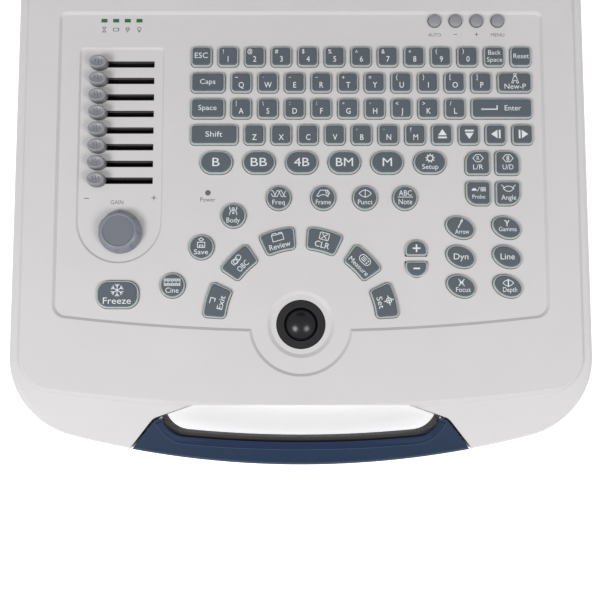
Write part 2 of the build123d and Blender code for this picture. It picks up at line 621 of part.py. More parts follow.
with BuildPart() as upper_case:
    # the border follows the side view, and the deck stands on it with a sloping edge
    add(straight(CASE_PLAN, 0, OUTER_SIDE))
    top_edges = upper_case.edges().filter_by(lambda e: e.center().Z > PARTING_Z + 2 and e.length > 4)
    soften(top_edges.filter_by(Axis.Z, reverse=True), CASE_EDGE_R, 2.5, 1.5)
    with BuildSketch(level(DECK_Z)):
        add(DECK_PLAN)
    extrude(amount=-3 * DECK_RISE, taper=-40)
    with BuildSketch(level(PARTING_Z)):
        add(NOTCH_PLAN)
    extrude(amount=DECK_Z, mode=Mode.SUBTRACT)
    with BuildPart(mode=Mode.PRIVATE) as room:
        add(straight(CASE_PLAN, CASE_WALL, INNER_SIDE))
        with BuildSketch(level(0)):
            add(notch_outline(-CASE_WALL))
        extrude(amount=DECK_Z, mode=Mode.SUBTRACT)
    add(room.part, mode=Mode.SUBTRACT)
    # the sunken panels
    with BuildSketch(level(DECK_Z)):
        add(panel_outline())
    extrude(amount=-PANEL_DEPTH, taper=PANEL_SLOPE, mode=Mode.SUBTRACT)
    with BuildSketch(level(PANEL_Z)):
        add(gain_outline())
    extrude(amount=-GAIN_DEPTH, taper=PANEL_SLOPE, mode=Mode.SUBTRACT)
    with BuildSketch(level(PANEL_Z)):
        Circle(DISH_R)
    extrude(amount=-DISH_DEPTH, taper=60, mode=Mode.SUBTRACT)
    # holes for the keys, the sliders, the knob, the lights and the trackball's ring
    with BuildSketch(level(PANEL_Z + 0.5)):
        add(outlines(ALL_KEYS, KEY_RIM + KEY_GAP))
        with Locations((STATUS_X + 1.5 * STATUS_PITCH, STATUS_Y)):
            with GridLocations(STATUS_PITCH, 0, 4, 1):
                Rectangle(STATUS_SIZE[0] + 0.2, STATUS_SIZE[1] + 0.2)
        with Locations(POWER_LIGHT_PLACE):
            Circle(POWER_LIGHT_R + 0.1)
        with Locations(((SLOT_LEFT + SLOT_RIGHT) / 2, (SLIDER_Y + SLIDER_LAST_Y) / 2)):
            with GridLocations(0, SLIDER_PITCH, 1, SLIDER_COUNT):
                RectangleRounded(SLOT_RIGHT - SLOT_LEFT, SLOT_WIDTH, 0.4)
        with Locations((KNOB_X, KNOB_Y)):
            Circle(KNOB_BUSH_R + 0.2)
        Circle(RING_R + RING_GAP)
    extrude(amount=UNDERSIDE_Z - PANEL_Z - 1, mode=Mode.SUBTRACT)
    # the felt's pocket, open below
    with BuildSketch(level(GAIN_Z - FELT_DEPTH)):
        with Locations(((SLOT_LEFT + SLOT_RIGHT) / 2, (SLIDER_Y + SLIDER_LAST_Y) / 2)):
            Rectangle(SLOT_RIGHT - SLOT_LEFT + 5.4, SLIDER_Y - SLIDER_LAST_Y + 9.4)
    extrude(amount=UNDERSIDE_Z - GAIN_Z - 1, mode=Mode.SUBTRACT)
    # bosses for the case screws and posts for the keypad's board
    with BuildSketch(level(UNDERSIDE_Z + 1)):
        with Locations(*screw_places()):
            Circle(BOSS_R)
    extrude(amount=BOSS_SPLIT_Z + 0.1 - UNDERSIDE_Z - 1)
    with BuildSketch(level(UNDERSIDE_Z + 1)):
        with Locations(*BOARD_POSTS):
            Circle(3)
    extrude(amount=KEY_BOARD_Z + BOARD_THICKNESS - UNDERSIDE_Z - 1)
    with BuildSketch(level(BOSS_SPLIT_Z)):
        with Locations(*screw_places()):
            Circle(SCREW_R + PILOT_CLEAR)
    extrude(amount=SCREW_TIP_Z + 1 - BOSS_SPLIT_Z, mode=Mode.SUBTRACT)
    # the hinge towers, bored for the brackets' barrels and slotted for their webs
    for side in (-1, 1):
        with BuildSketch(HINGE.offset(side * TOWER_X - TOWER_WIDTH / 2)):
            Circle(TOWER_R)
            Rectangle(2 * TOWER_R, HINGE_RISE + 1, align=(Align.CENTER, Align.MAX))
        extrude(amount=TOWER_WIDTH)
    for side in (-1, 1):
        with BuildSketch(HINGE.offset(side * TOWER_X - TOWER_WIDTH / 2)):
            Circle(HINGE_BARREL_R + 0.1)
        extrude(amount=TOWER_WIDTH, mode=Mode.SUBTRACT)
        with BuildSketch(HINGE.offset(side * TOWER_X - WEB_THICKNESS / 2 - 0.1)):
            Rectangle(2 * (HINGE_BARREL_R + 0.1), HINGE_Z - UNDERSIDE_Z + 1, align=(Align.CENTER, Align.MAX))
        extrude(amount=WEB_THICKNESS + 0.2, mode=Mode.SUBTRACT)
save(upper_case.part, "upper_case")


# ---------------------------------------------------------------- the carrying handle
with BuildPart() as handle_cover:
    # a coloured shell over the front, top and bottom of the bar, open behind
    with BuildSketch(level(GRIP_FLOOR_Z)):
        add(CASE_PLAN)
        add(notch_outline(COVER_SEAM), mode=Mode.INTERSECT)
        add(grip_outline(COVER_INSET), mode=Mode.INTERSECT)
    extrude(amount=DECK_Z)
    with BuildSketch(SIDE):
        add(OUTER_SIDE)
    extrude(amount=CASE_WIDTH, both=True, mode=Mode.INTERSECT)
    nose = handle_cover.edges().filter_by(lambda e: e.length > 100).sort_by(Axis.Y)[:2]
    chamfer(nose, COVER_CHAMFER)
    with BuildPart(mode=Mode.PRIVATE) as inside:
        with BuildSketch(level(GRIP_FLOOR_Z + COVER_WALL)):
            add(CASE_PLAN)
            offset(amount=-COVER_WALL)
            add(notch_outline(COVER_SEAM + COVER_WALL), mode=Mode.INTERSECT)
            add(grip_outline(0), mode=Mode.INTERSECT)
        extrude(amount=DECK_Z)
        with BuildSketch(SIDE):
            add(side_outline(BORDER_Z - COVER_WALL, FLOOR_Z, FRONT_SLOPE_R - COVER_WALL, FRONT_LIFT_R))
        extrude(amount=CASE_WIDTH, both=True, mode=Mode.INTERSECT)
    add(inside.part, mode=Mode.SUBTRACT)
save(handle_cover.part, "handle_cover")

with BuildPart() as handle_core:
    # the dark load-bearing bar inside the cover, held between the case's two front corners
    with BuildSketch(level(GRIP_FLOOR_Z + COVER_WALL + 0.1)):
        add(CASE_PLAN)
        offset(amount=-COVER_WALL - 0.1)
        add(notch_outline(COVER_SEAM + COVER_WALL + 0.1), mode=Mode.INTERSECT)
        add(grip_outline(0), mode=Mode.INTERSECT)
    extrude(amount=DECK_Z)
    with BuildSketch(SIDE):
        add(
            side_outline(
                BORDER_Z - COVER_WALL - 0.1, FLOOR_Z, FRONT_SLOPE_R - COVER_WALL - 0.1, FRONT_LIFT_R
            )
        )
    extrude(amount=CASE_WIDTH, both=True, mode=Mode.INTERSECT)
    # its rear face runs on past the cover to the case on both sides
    with BuildSketch(level(GRIP_FLOOR_Z + COVER_WALL + 0.1)):
        add(NOTCH_PLAN)
        add(grip_outline(0), mode=Mode.INTERSECT)
        add(grip_outline(COVER_INSET - 0.1), mode=Mode.SUBTRACT)
    extrude(amount=HANDLE_BAND)
save(handle_core.part, "handle_core")


# ---------------------------------------------------------------- feet, screws and the battery
with BuildPart() as rubber_feet:
    # four round rubber feet, glued under the floor
    with BuildSketch(Plane.XY):
        with Locations((0, DECK_Y + (FOOT_FRONT_Y + FOOT_REAR_Y) / 2)):
            with GridLocations(2 * FOOT_X, FOOT_REAR_Y - FOOT_FRONT_Y, 2, 2):
                Circle(FOOT_R)
    extrude(amount=FLOOR_Z)
    chamfer(rubber_feet.edges().group_by(Axis.Z)[0], 0.8)
save(rubber_feet.part, "rubber_feet")

with BuildPart() as case_screws:
    # pan-headed screws driven up from below into the upper case's bosses
    with BuildSketch(level(SCREW_SEAT_Z - SCREW_HEAD)):
        with Locations(*screw_places()):
            Circle(SCREW_HEAD_R)
    extrude(amount=SCREW_HEAD)
    with BuildSketch(level(SCREW_SEAT_Z)):
        with Locations(*screw_places()):
            Circle(SCREW_R)
    extrude(amount=SCREW_TIP_Z - SCREW_SEAT_Z)
    with BuildSketch(level(SCREW_SEAT_Z - SCREW_HEAD)):
        with Locations(*screw_places()):
            Rectangle(3.2, 0.8)
            Rectangle(0.8, 3.2)
    extrude(amount=1.0, mode=Mode.SUBTRACT)
save(case_screws.part, "case_screws")

with BuildPart() as battery_door:
    # a plate let into the floor, with two coin slots
    with BuildSketch(level(FLOOR_Z)):
        with Locations((0, DOOR_Y)):
            RectangleRounded(*DOOR_SIZE, 3)
    extrude(amount=CASE_WALL - 1)
    with BuildSketch(level(FLOOR_Z)):
        with Locations((0, DOOR_Y)):
            with GridLocations(DOOR_SIZE[0] - 24, 0, 2, 1):
                SlotOverall(10, 1.6)
    extrude(amount=0.9, mode=Mode.SUBTRACT)
save(battery_door.part, "battery_door")

with BuildPart() as battery_pack:
    # a row of cells in a shrunk sleeve, above the door
    with BuildSketch(level(FLOOR_Z + CASE_WALL)):
        with Locations((0, DOOR_Y)):
            RectangleRounded(BATTERY_SIZE[0], BATTERY_SIZE[1], 8)
    extrude(amount=BATTERY_SIZE[2])
    chamfer(battery_pack.edges().group_by(Axis.Z)[-1], 2)
save(battery_pack.part, "battery_pack")

# ---------------------------------------------------------------- electronics inside
with BuildPart() as main_board:
    # the beam-forming board on four standoffs, with its chips and coolers
    with BuildSketch(level(MAIN_BOARD_Z)):
        with Locations((0, MAIN_BOARD_Y)):
            Rectangle(*MAIN_BOARD_SIZE)
        Rectangle(44, 44, mode=Mode.SUBTRACT)
    extrude(amount=BOARD_THICKNESS)
    with BuildSketch(level(MAIN_BOARD_Z + BOARD_THICKNESS)):
        with Locations((-60, 150), (0, 150), (60, 150), (0, 95)):
            Rectangle(26, 26)
        with Locations((-60, 90), (60, 90), (-85, 120), (85, 120)):
            Rectangle(16, 30)
    extrude(amount=6)
save(main_board.part, "main_board")

with BuildPart() as power_supply:
    # a closed metal box beside the mains inlet, with cooling slots
    with BuildSketch(level(FLOOR_Z + CASE_WALL)):
        with Locations((SUPPLY_X, SUPPLY_Y)):
            RectangleRounded(SUPPLY_SIZE[0], SUPPLY_SIZE[1], 2)
    extrude(amount=SUPPLY_SIZE[2])
    with BuildSketch(level(FLOOR_Z + CASE_WALL + SUPPLY_SIZE[2])):
        with Locations((SUPPLY_X, SUPPLY_Y)):
            with GridLocations(0, 8, 1, 5):
                SlotOverall(SUPPLY_SIZE[0] - 16, 3)
    extrude(amount=-2, mode=Mode.SUBTRACT)
save(power_supply.part, "power_supply")


def board_outline():
    """The keypad board: under all keys, with an arm to the status lights and a bay for the trackball."""
    with BuildSketch() as plan:
        with Locations((36.5, 101)):
            Rectangle(241, 206)
        with Locations((-110, 18)):
            Rectangle(58, 40)
        with Locations((-108, 195)):
            Rectangle(48, 18)
        Circle(29, mode=Mode.SUBTRACT)
    return plan.sketch


MAT_MARGIN = 2.0
with BuildPart() as keyboard_board:
    # the printed board that the switch mat lies on, hung from four posts
    with BuildSketch(level(KEY_BOARD_Z)):
        add(board_outline())
    extrude(amount=BOARD_THICKNESS)
save(keyboard_board.part, "keyboard_board")

with BuildPart() as key_mat:
    # one sheet of silicone rubber with a dome under each key
    with BuildSketch(level(MAT_Z)):
        with Locations((33, 101)):
            Rectangle(228, 202)
        with Locations((-106, 20)):
            Rectangle(50, 34)
        Circle(31, mode=Mode.SUBTRACT)
        with Locations(POWER_LIGHT_PLACE):
            Circle(POWER_LIGHT_R + 1.5, mode=Mode.SUBTRACT)
    extrude(amount=MAT_THICKNESS)
save(key_mat.part, "key_mat")

with BuildPart() as status_lights:
    # clear light pipes standing on the board: four battery and mode lights and the power light
    with BuildSketch(level(KEY_BOARD_Z + BOARD_THICKNESS)):
        with Locations((STATUS_X + 1.5 * STATUS_PITCH, STATUS_Y)):
            with GridLocations(STATUS_PITCH, 0, 4, 1):
                Rectangle(STATUS_SIZE[0], STATUS_SIZE[1])
        with Locations(POWER_LIGHT_PLACE):
            Circle(POWER_LIGHT_R)
    extrude(amount=PANEL_Z + 0.3 - KEY_BOARD_Z - BOARD_THICKNESS)
save(status_lights.part, "status_lights")

SLIDER_ROWS = [SLIDER_Y - i * SLIDER_PITCH for i in range(SLIDER_COUNT)]
SLOT_X = (SLOT_LEFT + SLOT_RIGHT) / 2
POT_SIZE, POT_TOP_Z = (SLOT_RIGHT - SLOT_LEFT + 6, 7.0), 59.6
POT_HEIGHT = 8.0
STEM_FOOT_Z = POT_TOP_Z - 3.5
with BuildPart() as slot_felts:
    # a felt dust seal under the eight slots, slit for the stems
    with BuildSketch(level(GAIN_Z - FELT_DEPTH)):
        with Locations((SLOT_X, (SLIDER_Y + SLIDER_LAST_Y) / 2)):
            Rectangle(SLOT_RIGHT - SLOT_LEFT + 5, SLIDER_Y - SLIDER_LAST_Y + 9)
            with GridLocations(0, SLIDER_PITCH, 1, SLIDER_COUNT):
                SlotOverall(SLOT_RIGHT - SLOT_LEFT, FELT_SLIT, mode=Mode.SUBTRACT)
    extrude(amount=-FELT_THICKNESS)
save(slot_felts.part, "slot_felts")

with BuildPart() as slider_board:
    # the board with the eight slide potentiometers
    with BuildSketch(level(POT_TOP_Z - POT_HEIGHT)):
        with Locations((SLOT_X, (SLIDER_Y + SLIDER_LAST_Y) / 2)):
            Rectangle(POT_SIZE[0] + 4, SLIDER_Y - SLIDER_LAST_Y + 12)
    extrude(amount=-BOARD_THICKNESS)
    with BuildSketch(level(POT_TOP_Z - POT_HEIGHT)):
        with Locations((SLOT_X, (SLIDER_Y + SLIDER_LAST_Y) / 2)):
            with GridLocations(0, SLIDER_PITCH, 1, SLIDER_COUNT):
                Rectangle(*POT_SIZE)
    extrude(amount=POT_HEIGHT)
    with BuildSketch(level(POT_TOP_Z)):
        with Locations((SLOT_X, (SLIDER_Y + SLIDER_LAST_Y) / 2)):
            with GridLocations(0, SLIDER_PITCH, 1, SLIDER_COUNT):
                SlotOverall(SLOT_RIGHT - SLOT_LEFT, FELT_SLIT)
    extrude(amount=-5, mode=Mode.SUBTRACT)
save(slider_board.part, "slider_board")

# ---------------------------------------------------------------- the sliders and the gain knob
for number, slider_y in enumerate(SLIDER_ROWS, start=1):
    with BuildPart() as slider:
        # an oval cap with three finger ribs in its hollow top, on a flat stem
        with BuildSketch(level(GAIN_Z + SLIDER_FLOAT)):
            with Locations((SLIDER_X, slider_y)):
                Ellipse(*SLIDER_CAP)
        extrude(amount=SLIDER_HEIGHT, taper=SLIDER_TAPER)
        with BuildSketch(level(GAIN_Z + SLIDER_FLOAT + SLIDER_HEIGHT)):
            with Locations((SLIDER_X, slider_y)):
                Ellipse(SLIDER_CAP[0] - SLIDER_RIM, SLIDER_CAP[1] - SLIDER_RIM)
        extrude(amount=-1.2, mode=Mode.SUBTRACT)
        with BuildSketch(level(GAIN_Z + SLIDER_FLOAT + SLIDER_HEIGHT - 1.5)):
            with Locations((SLIDER_X, slider_y)):
                with GridLocations(2.1, 0, 3, 1):
                    Rectangle(0.7, 4.2)
        extrude(amount=0.9)
        with BuildSketch(level(GAIN_Z + SLIDER_FLOAT)):
            with Locations((SLIDER_X, slider_y)):
                Rectangle(STEM_LENGTH, STEM_WIDTH)
        extrude(amount=STEM_FOOT_Z - GAIN_Z - SLIDER_FLOAT)
    save(slider.part, f"gain_slider_{number}")

KNOB_Z = GAIN_Z + KNOB_FLOAT
ENCODER_TOP_Z = UNDERSIDE_Z
with BuildPart() as gain_encoder:
    # a rotary encoder under the deck, its threaded bush through the hole
    with BuildSketch(level(ENCODER_TOP_Z)):
        with Locations((KNOB_X, KNOB_Y)):
            Rectangle(16, 15)
    extrude(amount=-9)
    with BuildSketch(level(ENCODER_TOP_Z)):
        with Locations((KNOB_X, KNOB_Y)):
            Circle(KNOB_BUSH_R)
    extrude(amount=GAIN_Z - ENCODER_TOP_Z + 0.1)
    with BuildSketch(level(GAIN_Z + 1)):
        with Locations((KNOB_X, KNOB_Y)):
            Circle(KNOB_SHAFT_R + SHAFT_GAP)
    extrude(amount=ENCODER_TOP_Z - 7 - GAIN_Z - 1, mode=Mode.SUBTRACT)
save(gain_encoder.part, "gain_encoder")

with BuildPart() as gain_knob:
    # a turning knob with a scalloped skirt and a rimmed top, on its shaft
    with BuildSketch(level(KNOB_Z)):
        with Locations((KNOB_X, KNOB_Y)):
            Circle(KNOB_R)
    with BuildSketch(level(KNOB_Z + KNOB_HEIGHT)):
        with Locations((KNOB_X, KNOB_Y)):
            Circle(KNOB_TOP_R)
    loft()
    with BuildSketch(level(KNOB_Z)):
        with Locations((KNOB_X, KNOB_Y)):
            with PolarLocations(KNOB_R - SCALLOP_DEPTH + SCALLOP_R, KNOB_SCALLOPS):
                Circle(SCALLOP_R)
    extrude(amount=KNOB_HEIGHT, mode=Mode.SUBTRACT)
    with BuildSketch(level(KNOB_Z + KNOB_HEIGHT)):
        with Locations((KNOB_X, KNOB_Y)):
            Circle(KNOB_TOP_R - 1.6)
            Circle(KNOB_TOP_R - 4.2, mode=Mode.SUBTRACT)
    extrude(amount=-1, mode=Mode.SUBTRACT)
    with BuildSketch(level(KNOB_Z)):
        with Locations((KNOB_X, KNOB_Y)):
            Circle(KNOB_SHAFT_R)
    extrude(amount=ENCODER_TOP_Z - 6 - KNOB_Z)
save(gain_knob.part, "gain_knob")

# ---------------------------------------------------------------- the trackball
RING_FOOT_Z = UNDERSIDE_Z - 3.0
RING_BORE_R = BALL_R + 0.6
HOUSING_HALF = 20.0
HOUSING_FLOOR_Z = BALL_Z - BALL_R - 5.5
with BuildPart() as trackball_ring:
    # a twist-off ring flush in the deck's dish, with two dimples for a spanner
    with BuildSketch(level(RING_TOP_Z)):
        Circle(RING_R)
    extrude(amount=RING_FOOT_Z - RING_TOP_Z)
    chamfer(trackball_ring.edges().group_by(Axis.Z)[-1], 0.5)
    with BuildSketch(level(RING_TOP_Z)):
        Circle(BALL_HOLE_R + 0.8)
    with BuildSketch(level(RING_TOP_Z - RING_THICKNESS)):
        Circle(RING_BORE_R)
    loft(mode=Mode.SUBTRACT)
    with BuildSketch(level(RING_TOP_Z - RING_THICKNESS)):
        Circle(RING_BORE_R)
    extrude(amount=RING_FOOT_Z - RING_TOP_Z + RING_THICKNESS, mode=Mode.SUBTRACT)
    with BuildSketch(level(RING_TOP_Z)):
        with PolarLocations(SPANNER_R + 0.6, 2, start_angle=90 + SPANNER_TURN):
            Circle(SPANNER_HOLE_R)
    extrude(amount=-0.5, mode=Mode.SUBTRACT)
save(trackball_ring.part, "trackball_ring")

BEARING_SPAN = BALL_R + BEARING_R + BALL_GAP
BEARING_ANGLE = radians(BEARING_DROP)
with BuildPart() as trackball_housing:
    # a square cup under the deck, with a round well for the ball and a seat for the ring
    with BuildSketch(level(HOUSING_FLOOR_Z)):
        RectangleRounded(2 * HOUSING_HALF, 2 * HOUSING_HALF, 3)
    extrude(amount=UNDERSIDE_Z - HOUSING_FLOOR_Z)
    with Locations(level(BALL_Z).location):
        Sphere(BALL_R + BEARING_R, mode=Mode.SUBTRACT)
        Cylinder(
            BALL_R + BEARING_R, DECK_Z - BALL_Z, align=(Align.CENTER, Align.CENTER, Align.MIN), mode=Mode.SUBTRACT
        )
    with BuildSketch(level(RING_FOOT_Z)):
        Circle(RING_R + RING_GAP)
    extrude(amount=DECK_Z - RING_FOOT_Z, mode=Mode.SUBTRACT)
    with Locations(level(BALL_Z - BEARING_SPAN * sin(BEARING_ANGLE)).location):
        with PolarLocations(BEARING_SPAN * cos(BEARING_ANGLE), 3):
            Sphere(BEARING_R + 0.02, mode=Mode.SUBTRACT)
save(trackball_housing.part, "trackball_housing")

with BuildPart() as trackball_bearings:
    # three hard little balls that carry the big one
    with Locations(level(BALL_Z - BEARING_SPAN * sin(BEARING_ANGLE)).location):
        with PolarLocations(BEARING_SPAN * cos(BEARING_ANGLE), 3):
            Sphere(BEARING_R)
save(trackball_bearings.part, "trackball_bearings")

with BuildPart() as trackball:
    # a solid ball of phenolic resin
    with Locations(level(BALL_Z).location):
        Sphere(BALL_R)
save(trackball.part, "trackball")


# ---------------------------------------------------------------- the keys
def key_caps(keys):
    """Caps with a lighter rim around them, and the flange that keeps them under the deck."""
    with BuildPart() as caps:
        with BuildSketch(level(KEY_FOOT_Z)):
            add(outlines(keys, KEY_RIM + KEY_LIP))
        extrude(amount=KEY_LIP_HEIGHT)
        with BuildSketch(level(KEY_FOOT_Z)):
            add(outlines(keys, KEY_RIM))
        extrude(amount=KEY_TOP_Z - 0.8 - KEY_FOOT_Z)
        with BuildSketch(level(KEY_TOP_Z - 0.8)):
            add(outlines(keys, 0))
        extrude(amount=0.8)
        soften(caps.edges().group_by(Axis.Z)[-1], 0.35, 0.2)
    return caps.part


for name, keys in KEY_SETS.items():
    save(key_caps(keys), name)

# ---------------------------------------------------------------- the fan
FAN_X = -(RIGHT_WALL_X - CASE_WALL - 2.0)
FAN_PLANE = Plane(origin=(FAN_X, DECK_Y + FAN_Y, PORT_Z), x_dir=(0, 1, 0), z_dir=(1, 0, 0))
FAN_PIN_R = 1.5
with BuildPart() as fan_frame:
    # a square frame screwed behind the left vents, with three struts and the motor's pin
    with BuildSketch(FAN_PLANE):
        RectangleRounded(FAN_SIZE, FAN_SIZE, 3)
        Circle(FAN_SIZE / 2 - 1.2, mode=Mode.SUBTRACT)
        with GridLocations(FAN_SIZE - 5, FAN_SIZE - 5, 2, 2):
            Circle(1.4, mode=Mode.SUBTRACT)
    extrude(amount=FAN_DEPTH)
    with BuildSketch(FAN_PLANE.offset(FAN_DEPTH - 1.5)):
        Circle(FAN_HUB_R)
        with PolarLocations(FAN_SIZE / 4, 3):
            Rectangle(FAN_SIZE / 2, 2)
        Circle(FAN_SIZE / 2, mode=Mode.INTERSECT)
    extrude(amount=1.5)
    with BuildSketch(FAN_PLANE.offset(2)):
        Circle(FAN_PIN_R)
    extrude(amount=FAN_DEPTH - 2)
save(fan_frame.part, "fan_frame")

with BuildPart() as fan_rotor:
    # a hub with twisted blades
    with BuildSketch(FAN_PLANE.offset(1)):
        Circle(FAN_HUB_R)
    extrude(amount=FAN_DEPTH - 3.2)
    for i in range(FAN_BLADES):
        turn = i * 360 / FAN_BLADES
        middle = FAN_PLANE.offset(FAN_DEPTH / 2 - 0.6) * Rot(0, 0, turn) * Pos(FAN_SIZE / 4 + 1.4, 0, 0)
        with Locations(middle * Rot(35, 0, 0)):
            Box(FAN_SIZE / 2 - FAN_HUB_R + 1.6, 7.5, 1)
    with BuildSketch(FAN_PLANE):
        Circle(FAN_SIZE / 2 - 2.2)
    extrude(amount=FAN_DEPTH, mode=Mode.INTERSECT)
    with BuildSketch(FAN_PLANE.offset(1.6)):
        Circle(FAN_PIN_R + SHAFT_GAP)
    extrude(amount=FAN_DEPTH, mode=Mode.SUBTRACT)
save(fan_rotor.part, "fan_rotor")

# ---------------------------------------------------------------- ports
with BuildPart() as probe_sockets:
    # two many-pinned sockets with raised collars
    with BuildSketch(SIDE.offset(RIGHT_WALL_X - PROBE_DEPTH)):
        with Locations(*[(y, PORT_Z) for y in PROBE_PLACES]):
            RectangleRounded(*PROBE_SIZE, 1.5)
    extrude(amount=PROBE_DEPTH + 1.6)
    with BuildSketch(SIDE.offset(RIGHT_WALL_X + 1.6)):
        with Locations(*[(y, PORT_Z) for y in PROBE_PLACES]):
            RectangleRounded(*PROBE_MOUTH, 3)
    extrude(amount=-PROBE_MOUTH_DEPTH, mode=Mode.SUBTRACT)
    with BuildSketch(SIDE.offset(RIGHT_WALL_X + 1.6 - PROBE_MOUTH_DEPTH)):
        with Locations(*[(y, PORT_Z) for y in PROBE_PLACES]):
            RectangleRounded(PROBE_MOUTH[0] - 6, PROBE_MOUTH[1] - 6, 1)
    extrude(amount=PROBE_MOUTH_DEPTH - 5)
    with BuildSketch(SIDE.offset(RIGHT_WALL_X - 3.4)):
        with Locations(*[(y, PORT_Z) for y in PROBE_PLACES]):
            with GridLocations(2.4, 2.2, *PROBE_PINS):
                Rectangle(0.9, 0.9)
    extrude(amount=-1, mode=Mode.SUBTRACT)
save(probe_sockets.part, "probe_sockets")

with BuildPart() as power_inlet:
    # an appliance inlet with three pins
    with BuildSketch(REAR.offset(REAR_WALL_Y - INLET_DEPTH)):
        with Locations((-INLET_X, PORT_Z)):
            RectangleRounded(*INLET_SIZE, 2)
    extrude(amount=INLET_DEPTH + 1.2)
    with BuildSketch(REAR.offset(REAR_WALL_Y + 1.2)):
        with Locations((-INLET_X, PORT_Z)):
            RectangleRounded(*INLET_MOUTH, 3)
    extrude(amount=-16, mode=Mode.SUBTRACT)
    with BuildSketch(REAR.offset(REAR_WALL_Y - 16)):
        with Locations((-INLET_X - 7, PORT_Z - 1.5), (-INLET_X, PORT_Z + 2.5), (-INLET_X + 7, PORT_Z - 1.5)):
            Rectangle(2, 4)
    extrude(amount=14)
save(power_inlet.part, "power_inlet")

SWITCH_PLANE = REAR.offset(REAR_WALL_Y + 1.2)
ROCKER_PIVOT_Y = REAR_WALL_Y - 2.4
ROCKER_PIN_R = 1.3
ROCKER_HOLE = ROCKER_SIZE[0] + 0.8
with BuildPart() as switch_housing:
    # the mains switch's frame, bored on both sides for the rocker's trunnions
    with BuildSketch(REAR.offset(REAR_WALL_Y - 14)):
        with Locations((-SWITCH_X, PORT_Z)):
            RectangleRounded(*SWITCH_SIZE, 1)
    extrude(amount=14 + 1.2)
    with BuildSketch(SWITCH_PLANE):
        with Locations((-SWITCH_X, PORT_Z)):
            Rectangle(ROCKER_HOLE, 20.8)
    extrude(amount=-13, mode=Mode.SUBTRACT)
    with BuildSketch(SIDE.offset(SWITCH_X - ROCKER_HOLE / 2 - 2)):
        with Locations((ROCKER_PIVOT_Y, PORT_Z)):
            Circle(ROCKER_PIN_R + SHAFT_GAP)
    extrude(amount=ROCKER_HOLE + 4, mode=Mode.SUBTRACT)
save(switch_housing.part, "switch_housing")

with BuildPart() as power_switch:
    # the rocker at rest with its lower end pressed in
    half = ROCKER_SIZE[1] / 2
    with BuildSketch(SIDE.offset(SWITCH_X - ROCKER_SIZE[0] / 2)):
        with Locations(Location((ROCKER_PIVOT_Y, PORT_Z), ROCKER_SWING)):
            Polygon((5, half), (3.6, 0), (5, -half), (1, -half), (-3, -4), (-3, 4), (1, half), align=None)
    extrude(amount=ROCKER_SIZE[0])
    with BuildSketch(SIDE.offset(SWITCH_X - ROCKER_HOLE / 2 - 1.5)):
        with Locations((ROCKER_PIVOT_Y, PORT_Z)):
            Circle(ROCKER_PIN_R)
    extrude(amount=ROCKER_HOLE + 3)
save(power_switch.part, "power_switch")

with BuildPart() as rear_ports:
    # a video socket, a network socket, a bayonet video socket and two serial-bus sockets
    with BuildSketch(REAR.offset(REAR_WALL_Y - 12)):
        with Locations((-VGA_X, PORT_Z)):
            RectangleRounded(31, 13, 1)
        with Locations((-LAN_X, PORT_Z)):
            Rectangle(16.5, 14)
        with Locations((-USB_X, PORT_Z), (-USB_X - USB_PITCH, PORT_Z)):
            Rectangle(14.5, 7.5)
    extrude(amount=12.8)
    with BuildSketch(REAR.offset(REAR_WALL_Y - 12)):
        with Locations((-BNC_X, PORT_Z)):
            Rectangle(13, 13)
    extrude(amount=12.4)
    with BuildSketch(REAR.offset(REAR_WALL_Y)):
        with Locations((-BNC_X, PORT_Z)):
            Circle(4.8)
        with Locations((-VGA_X, PORT_Z)):
            Trapezoid(17, 8.4, 80)
    extrude(amount=5)
    with BuildSketch(REAR.offset(REAR_WALL_Y + 5)):
        with Locations((-BNC_X, PORT_Z)):
            Circle(4.0)
            Circle(1.8, mode=Mode.SUBTRACT)
    extrude(amount=-6, mode=Mode.SUBTRACT)
    with BuildSketch(REAR.offset(REAR_WALL_Y + 5)):
        with Locations((-VGA_X, PORT_Z)):
            with GridLocations(2.3, 2.2, 5, 3):
                Circle(0.5)
    extrude(amount=-3, mode=Mode.SUBTRACT)
    with BuildSketch(REAR.offset(REAR_WALL_Y + 1)):
        with Locations((-LAN_X, PORT_Z)):
            Rectangle(12, 8)
        with Locations((-LAN_X, PORT_Z - 5)):
            Rectangle(6, 3)
        with Locations((-USB_X, PORT_Z), (-USB_X - USB_PITCH, PORT_Z)):
            Rectangle(12.5, 5)
            with Locations((0, 1)):
                Rectangle(11, 1.8, mode=Mode.SUBTRACT)
    extrude(amount=-10, mode=Mode.SUBTRACT)
save(rear_ports.part, "rear_ports")

# ---------------------------------------------------------------- the hinges
with BuildPart() as hinge_brackets:
    # steel barrels in the towers, each on a web with a foot plate screwed under the deck
    for side in (-1, 1):
        with BuildSketch(HINGE.offset(side * TOWER_X - TOWER_WIDTH / 2 + 0.5)):
            Circle(HINGE_BARREL_R)
        extrude(amount=TOWER_WIDTH - 1)
        with BuildSketch(HINGE.offset(side * TOWER_X - WEB_THICKNESS / 2)):
            Rectangle(2 * HINGE_BARREL_R - 1, HINGE_Z - UNDERSIDE_Z + 2, align=(Align.CENTER, Align.MAX))
        extrude(amount=WEB_THICKNESS)
        with BuildSketch(level(UNDERSIDE_Z)):
            with Locations((side * TOWER_X, HINGE_Y - 6)):
                Rectangle(26, 34)
        extrude(amount=-2.5)
        with BuildSketch(HINGE.offset(side * TOWER_X - TOWER_WIDTH / 2)):
            Circle(HINGE_PIN_R + HINGE_PIN_GAP)
        extrude(amount=TOWER_WIDTH, mode=Mode.SUBTRACT)
save(hinge_brackets.part, "hinge_brackets")

